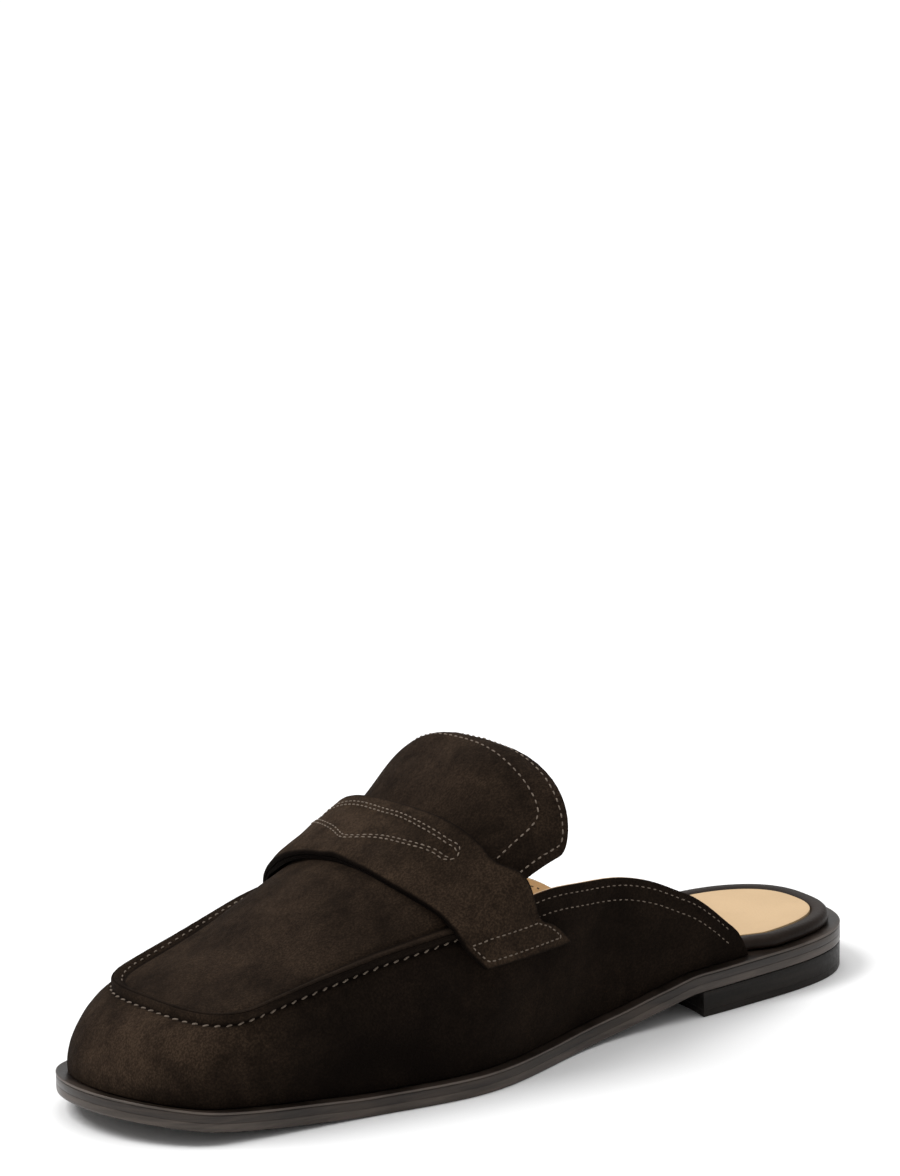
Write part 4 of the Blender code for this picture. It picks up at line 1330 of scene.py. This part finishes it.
def build_insole(rim_material, sock_material):
    """The footbed with its wrapped rim, and the sock that lies on it."""
    rings = []
    for inset, height in zip(RIM_PROFILE["inset"], RIM_PROFILE["height"]):
        up = max(RIM_HEIGHT * height, GAP)
        rings.append(outline(footbed_inset(RIM_WIDTH * inset), lambda x: topside(x) + up))
    rings.append(outline(footbed_inset(RIM_WIDTH), lambda x: topside(x) + FOOTBED))
    make("wrapped_footbed", "footbed", capped(rings), rim_material)
    rings = []
    for inset, up in SOCK_EDGE:
        inset = footbed_inset(RIM_WIDTH + GAP / 2 + inset * MM)
        rings.append(outline(inset, lambda x: topside(x) + FOOTBED + GAP / 2 + SOCK * up))
    make("smooth_sock", "sock_lining", capped(rings, 25), sock_material)


def seam_rows():
    """The raised seam: long slanting stitches outside, in the groove under the vamp's turned edge,
    and on the far half finer ones inside, on the flank where the plug rolls up."""
    place = EDGES[3]
    count = len(place)
    first = QUARTER_ROWS
    face, _, normal, _ = vamp_surface(wall_at(np.array([2.05, 1.85, 1.65]) * MM))
    open_seam = seam_share_both(place, np.arange(count) <= count // 2) > 0.35
    front = np.where(open_seam)[0]
    front = front[(front > first) & (front < count - first)]
    outside = stitch_row("seam", face[1, front], normal[1, front], 0.28)
    face, _, normal, _ = plug_face(np.array([0.0, 1.75, 1.95]) * MM)
    far = front[front > count // 2 + FRONT_ROWS[1] // 2] - first + sum(TONGUE_ROWS)
    return [outside, stitch_row("seam_inside", face[2, far], normal[2, far])]


def quarter_rows():
    """Two rows on each quarter that follow its topline, the upper one also on the lining."""
    foot = EDGES[1]
    first, last = QUARTER_ROWS, len(foot) - QUARTER_ROWS
    found = []
    for away in (2.2, 6.6):
        face, _, normal, _ = vamp_surface(wall_at(np.array([away + 0.2, away, away - 0.2]) * MM))
        for part in (slice(4, first + 2), slice(last - 2, len(foot) - 4)):
            line, way = face[1, part], normal[1, part]
            keep = line[:, 2] > foot[part, 2] + 2.5 * MM
            line, way = line[keep], way[keep]
            found.append(stitch_row("quarter", line, way))
            if away < 3:
                skin = line - way * (SUEDE + SLACK + LINING - 0.1 * MM)
                found.append(stitch_row("quarter_lining", skin, -way))
    return found


def tongue_rows():
    """A row near the tongue's edge and one further in, from one side of the notch to the other."""
    found = []
    ring = sum(TONGUE_ROWS)
    for away, rounding in ((2.6, 0), (10.0, 7)):
        face, _, normal, _ = plug_face(np.array([0.0, away - 0.2, away]) * MM, rounding=rounding)
        count = face.shape[1]
        order = np.concatenate([np.arange(count - ring, count), np.arange(0, ring + 1)])
        found.append(stitch_row("tongue", face[2, order], normal[2, order]))
    return found


def strap_rows():
    """The strap's lens in two rows, and a rectangle on each tab."""
    found = []
    ends = LENS["line"][0], LENS["line"][-1]
    turn = np.linspace(0, 2 * math.pi, 361)
    for row in (0, 1):
        half = (ends[1] - ends[0]) / 2 - row * LENS_ROWS[0]
        line = (ends[0] + ends[1]) / 2 + half * np.cos(turn)
        rear, front = lens_lines(line, row * LENS_ROWS[1])
        share = np.where(turn < math.pi, rear, front)
        found.append(stitch_row("lens", *strap_places(line, share)))
    (near, far), (low, high) = TAB_BOX
    corners = np.array([(near, low), (near, high), (far, high), (far, low), (near, low)])
    steps = np.linspace(0, 4, 241)
    line, share = (np.interp(steps, np.arange(5), corners[:, k]) for k in (0, 1))
    for side in (-1, 1):
        found.append(stitch_row("tab", *strap_places(side * line, share)))
    return found


def build_stitches(material):
    """Every row of stitches: along the raised seam, the quarters, the tongue and the strap."""
    threads("seam_stitches", "upper", seam_rows(), material)
    threads("quarter_stitches", "upper", quarter_rows(), material)
    threads("tongue_stitches", "upper", tongue_rows(), material)
    threads("strap_stitches", "saddle_strap", strap_rows(), material)


def strap_places(line, share):
    """The strap's face and normals at single places, looked up on a fine grid."""
    rows, columns = 240, 60
    face, _, normal, _ = strap_faces(np.linspace(-1, 1, rows + 1), np.linspace(0, 1, columns + 1))
    u = np.clip((line + 1) / 2 * rows, 0, rows - 0.001)
    v = np.clip(share * columns, 0, columns - 0.001)
    i, j = u.astype(int), v.astype(int)
    a, b = (u - i)[:, None], (v - j)[:, None]

    def look(grid):
        near = grid[i, j] * (1 - a) + grid[i + 1, j] * a
        far = grid[i, j + 1] * (1 - a) + grid[i + 1, j + 1] * a
        return near * (1 - b) + far * b

    return look(face), unit(look(normal))


class Nodes:
    """Short ways to add nodes to one tree. Any input may be a plain value or another's socket."""

    def __init__(self, tree):
        self.tree = tree

    def put(self, socket, value):
        if isinstance(value, bpy.types.NodeSocket):
            self.tree.links.new(value, socket)
        else:
            socket.default_value = value

    def add(self, kind, inputs=(), **settings):
        node = self.tree.nodes.new(kind)
        for name, value in settings.items():
            setattr(node, name, value)
        for name, value in dict(inputs).items():
            self.put(node.inputs[name], value)
        return node

    def math(self, kind, *values):
        return self.add("ShaderNodeMath", enumerate(values), operation=kind).outputs[0]

    def weighed(self, a, b, share):
        """share * a + (1 - share) * b"""
        return self.math("MULTIPLY_ADD", a, share, self.math("MULTIPLY", b, 1 - share))

    def vary(self, value, other, amount):
        """value * (1 + amount * (other - 0.5))"""
        factor = self.math("MULTIPLY_ADD", other, amount, 1 - amount / 2)
        return self.math("MULTIPLY", value, factor)

    def noise(self, place, scale, detail=3, rough=0.55, stretch=(1, 1, 1), twist=0.0, turn=None):
        inputs = {"Vector": place, "Scale": stretch, "Rotation": turn or (0, 0, 0)}
        moved = self.add("ShaderNodeMapping", inputs).outputs["Vector"]
        inputs = {"Vector": moved, "Scale": scale, "Detail": detail}
        inputs.update({"Roughness": rough, "Distortion": twist})
        return self.add("ShaderNodeTexNoise", inputs).outputs["Fac"]

    def spread(self, value, low, high, to_low=0.0, to_high=1.0):
        """A smooth rise from to_low at low to to_high at high."""
        inputs = {"Value": value, "From Min": low, "From Max": high}
        inputs.update({"To Min": to_low, "To Max": to_high})
        node = self.add("ShaderNodeMapRange", inputs, interpolation_type="SMOOTHSTEP")
        return node.outputs["Result"]

    def mix(self, factor, a, b):
        node = self.add("ShaderNodeMix", data_type="RGBA")
        self.put(node.inputs["Factor"], factor)
        colours = [socket for socket in node.inputs if socket.type == "RGBA"]
        for socket, value in zip(colours, (a, b)):
            self.put(socket, (*value, 1) if isinstance(value, tuple) else value)
        return next(socket for socket in node.outputs if socket.type == "RGBA")

    def bump(self, height, distance, strength):
        inputs = {"Height": height, "Distance": distance, "Strength": strength}
        return self.add("ShaderNodeBump", inputs).outputs["Normal"]


class Recipe(Nodes):
    """A material, its place on the object, and its shader's own sockets by name."""

    def __init__(self, name, **constants):
        self.material = bpy.data.materials.new(name)
        self.material.use_nodes = True
        super().__init__(self.material.node_tree)
        self.place = self.add("ShaderNodeTexCoord").outputs["Object"]
        self.set(**constants)

    def set(self, **sockets):
        """Sets the shader's sockets: base_color, for one, stands for Base Color."""
        shader = self.tree.nodes["Principled BSDF"]
        for name, value in sockets.items():
            name = name.replace("_", " ").title().replace("Ior", "IOR")
            self.put(shader.inputs[name], value)

    def named(self, name):
        return self.add("ShaderNodeAttribute", attribute_name=name).outputs["Fac"]


def nap_group():
    """Suede's nap, worked out once: brushed patches, fine specks and a fibrous height."""
    group = bpy.data.node_groups.new("suede_nap", "ShaderNodeTree")
    face = group.interface
    face.new_socket(name="Vector", in_out="INPUT", socket_type="NodeSocketVector")
    for name in ("Patches", "Specks", "Height"):
        face.new_socket(name=name, in_out="OUTPUT", socket_type="NodeSocketFloat")
    made = Nodes(group)
    start, end = made.add("NodeGroupInput"), made.add("NodeGroupOutput")

    def noise(scale, detail, rough, stretch=(1, 1, 1), twist=0.0):
        place = start.outputs["Vector"]
        return made.noise(place, scale, detail, rough, stretch, twist, (0.3, 0.5, 0.8))

    broad = made.spread(noise(52, 3, 0.55, twist=0.6), 0.34, 0.68)
    medium = made.spread(noise(240, 4, 0.6, (1, 1.6, 1), 0.4), 0.30, 0.72)
    made.put(end.inputs["Patches"], made.weighed(broad, medium, 0.62))
    fine = noise(1500, 3, 0.62, (1, 1.7, 1))
    made.put(end.inputs["Specks"], made.spread(fine, 0.36, 0.70))
    pile, clump = noise(2600, 2, 0.6, (1, 2.2, 1)), noise(620, 3, 0.6)
    made.put(end.inputs["Height"], made.weighed(pile, clump, 0.45))
    return group


def suede(name, dark, light, raw, nap_and_painted_light):
    """Brushed suede: the two browns mixed by the nap and the painted light and shade that its
    attribute carries, in patches, with specks, a fibrous bump and a faint sheen. Where the raw edge
    shows, its own red-brown."""
    made = Recipe(name, roughness=0.92, specular_ior_level=0.03)
    made.set(sheen_weight=0.02, sheen_roughness=0.45, sheen_tint=(0.55, 0.42, 0.33, 1))
    group = made.add("ShaderNodeGroup", node_tree=nap_and_painted_light)
    made.put(group.inputs["Vector"], made.place)
    # The attribute carries nap and painted light and shade: lighter on top and at the toe, darker
    # low on the sides, in the seam's grooves and at the strap's edges
    share = made.vary(made.named("nap_and_painted_light"), group.outputs["Patches"], 1.1)
    share = made.vary(share, group.outputs["Specks"], 0.9)
    made.set(base_color=made.mix(made.named("raw"), made.mix(share, dark, light), raw))
    made.set(normal=made.bump(group.outputs["Height"], 0.45 * MM, 1.0))
    return made.material


def sole_leather():
    """Waxed sole edge: dark brown with streaks along it, lighter where it is rubbed and on its lip,
    which carries a painted highlight, and darkest with painted shade in its grooves and on the
    ledge.
    """
    made = Recipe("sole_edge_leather", specular_ior_level=0.26)
    made.set(coat_weight=0.04, coat_roughness=0.25)
    streak = made.spread(made.noise(made.place, 150, 4, 0.6, (0.35, 0.35, 4.0)), 0.35, 0.68)
    body = made.mix(streak, (0.012, 0.0085, 0.0065), (0.034, 0.024, 0.018))
    # The rubbed colour also paints a highlight along the edge's lip
    rubbed_and_highlit = made.mix(streak, (0.060, 0.047, 0.038), (0.105, 0.084, 0.070))
    made.set(base_color=made.mix(made.named("worn"), body, rubbed_and_highlit))
    made.set(roughness=made.spread(streak, 0.0, 1.0, 0.30, 0.46))
    grain = made.noise(made.place, 900, 3, 0.6, (0.5, 0.5, 1.6))
    made.set(normal=made.bump(grain, 0.12 * MM, 0.5))
    return made.material


def heel_leather():
    """Stacked heel: near-black brown with faint layers, semi-gloss."""
    made = Recipe("stacked_heel_leather", specular_ior_level=0.14)
    layers = made.spread(made.noise(made.place, 420, 2, 0.5, (0.05, 0.05, 1.0)), 0.35, 0.65)
    made.set(base_color=made.mix(layers, (0.0075, 0.0058, 0.0045), (0.0145, 0.0112, 0.0088)))
    grain = made.noise(made.place, 800, 3, 0.6)
    made.set(normal=made.bump(grain, 0.12 * MM, 0.5))
    made.set(roughness=made.spread(grain, 0.3, 0.7, 0.34, 0.50))
    return made.material


def smooth_leather(name, dark, light, grain, **constants):
    """Smooth leather: two close colours in cloudy patches and a fine grain."""
    made = Recipe(name, **constants)
    clouds = made.spread(made.noise(made.place, 70, 4), 0.3, 0.7)
    made.set(base_color=made.mix(clouds, dark, light))
    pores = made.add("ShaderNodeTexVoronoi", {"Vector": made.place, "Scale": grain})
    made.set(normal=made.bump(pores.outputs["Distance"], 0.10 * MM, 0.35))
    return made.material


def thread_material():
    """Waxed thread, its colour changing from stitch to stitch."""
    made = Recipe("taupe_thread", roughness=0.65, specular_ior_level=0.2)
    cloud = made.noise(made.place, 900, 2)
    made.set(base_color=made.mix(cloud, (0.055, 0.040, 0.030), (0.25, 0.20, 0.155)))
    return made.material


def build_floor():
    """A plain pale floor: one large square under the shoe."""
    mesh = bpy.data.meshes.new("floor")
    size = 6.0
    corners = [(-size, -size, 0), (size, -size, 0), (size, size, 0), (-size, size, 0)]
    mesh.from_pydata(corners, [], [(0, 1, 2, 3)])
    floor = bpy.data.objects.new("floor", mesh)
    bpy.context.scene.collection.objects.link(floor)
    made = Recipe("pale_floor", roughness=0.9, base_color=(0.90, 0.90, 0.90, 1))
    mesh.materials.append(made.material)


def area_light(name, place, aim, size, power):
    """A rectangular lamp at a place, turned towards another, in metres and watts."""
    light = bpy.data.lights.new(name, "AREA")
    light.shape = "RECTANGLE"
    light.size, light.size_y = size
    light.energy = power
    lamp = bpy.data.objects.new(name, light)
    lamp.location = place
    lamp.rotation_euler = (Vector(aim) - Vector(place)).to_track_quat("-Z", "Y").to_euler()
    bpy.context.scene.collection.objects.link(lamp)


def build_lights():
    """A soft studio: a white surround, a key from the front, one overhead and one for the wall."""
    world = bpy.data.worlds.new("studio")
    world.use_nodes = True
    back = world.node_tree.nodes["Background"]
    back.inputs["Color"].default_value = (1, 1, 1, 1)
    back.inputs["Strength"].default_value = 0.45
    bpy.context.scene.world = world
    area_light("key", (0.9, -0.5, 1.5), (0.0, 0.0, 0.03), (0.9, 0.9), 24)
    area_light("top", (-0.2, 0.2, 1.6), (0.0, 0.0, 0.0), (1.4, 1.4), 10)
    area_light("back", (-1.5, -2.1, 1.7), (-1.6, -2.3, 0.0), (3.2, 2.4), 36)


# The photographed view: turn and height of the camera, its roll, how far it is and what it aims
# at, in mm, and where that falls in a frame of 900 by 1176
VIEW = dict(turn=0.600, height=0.321, roll=-0.025, far=1568.24, focal=5356.9)
AIM = (131.0, 0.0, 30.0)
AIM_AT = (464.95, 938.80)
FRAME_SIZE = (900, 1176)
SENSOR = 36


def build_camera():
    """The camera of the photographed view, its lens shifted to where the shoe lies in the frame."""
    turn, height, roll = VIEW["turn"], VIEW["height"], VIEW["roll"]
    level_way = np.array([math.sin(turn), math.cos(turn), 0])
    back = level_way * math.cos(height) + (0, 0, math.sin(height))
    right = np.cross(-back, (0, 0, 1))
    right /= np.linalg.norm(right)
    up = np.cross(back, right)
    across = math.cos(roll) * right + math.sin(roll) * up
    over = -math.sin(roll) * right + math.cos(roll) * up
    eye = (np.array(AIM) + VIEW["far"] * back) * MM - middle()
    data = bpy.data.cameras.new("camera")
    data.sensor_fit = "AUTO"
    data.sensor_width = SENSOR
    data.lens = VIEW["focal"] * SENSOR / max(FRAME_SIZE)
    data.shift_x = (FRAME_SIZE[0] / 2 - AIM_AT[0]) / max(FRAME_SIZE)
    data.shift_y = (AIM_AT[1] - FRAME_SIZE[1] / 2) / max(FRAME_SIZE)
    camera = bpy.data.objects.new("camera", data)
    matrix = np.eye(4)
    matrix[:3] = np.stack([across, over, back, eye], axis=1)
    camera.matrix_world = Matrix(matrix.tolist())
    bpy.context.scene.collection.objects.link(camera)
    bpy.context.scene.camera = camera


def main():
    """Dresses the part: materials, pieces, floor, light and camera."""
    for old in list(bpy.data.objects):
        bpy.data.objects.remove(old)
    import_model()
    # The two browns span the suede's painted light and shade as well as its own tone
    brown = suede(
        "brown_suede",
        dark=(0.0032, 0.0021, 0.0016),
        light=(0.044, 0.0285, 0.0185),
        raw=(0.075, 0.034, 0.020),
        nap_and_painted_light=nap_group(),
    )
    tan = smooth_leather("tan_lining", (0.84, 0.60, 0.34), (0.90, 0.66, 0.38), 900, roughness=0.55)
    light_tan = (0.505, 0.342, 0.178), (0.545, 0.372, 0.198)
    sock = smooth_leather("tan_sock", *light_tan, 1100, roughness=0.50)
    dark_brown = (0.011, 0.0068, 0.0046), (0.018, 0.011, 0.0075)
    rim = smooth_leather("rim_leather", *dark_brown, 900, roughness=0.45, specular_ior_level=0.14)
    build_vamp(brown, tan)
    build_plug(brown, tan)
    build_strap(brown)
    build_outsole(sole_leather())
    build_heel(heel_leather())
    build_insole(rim, sock)
    build_stitches(thread_material())
    build_floor()
    build_lights()
    build_camera()
    bpy.context.scene.view_settings.view_transform = "Standard"


main()
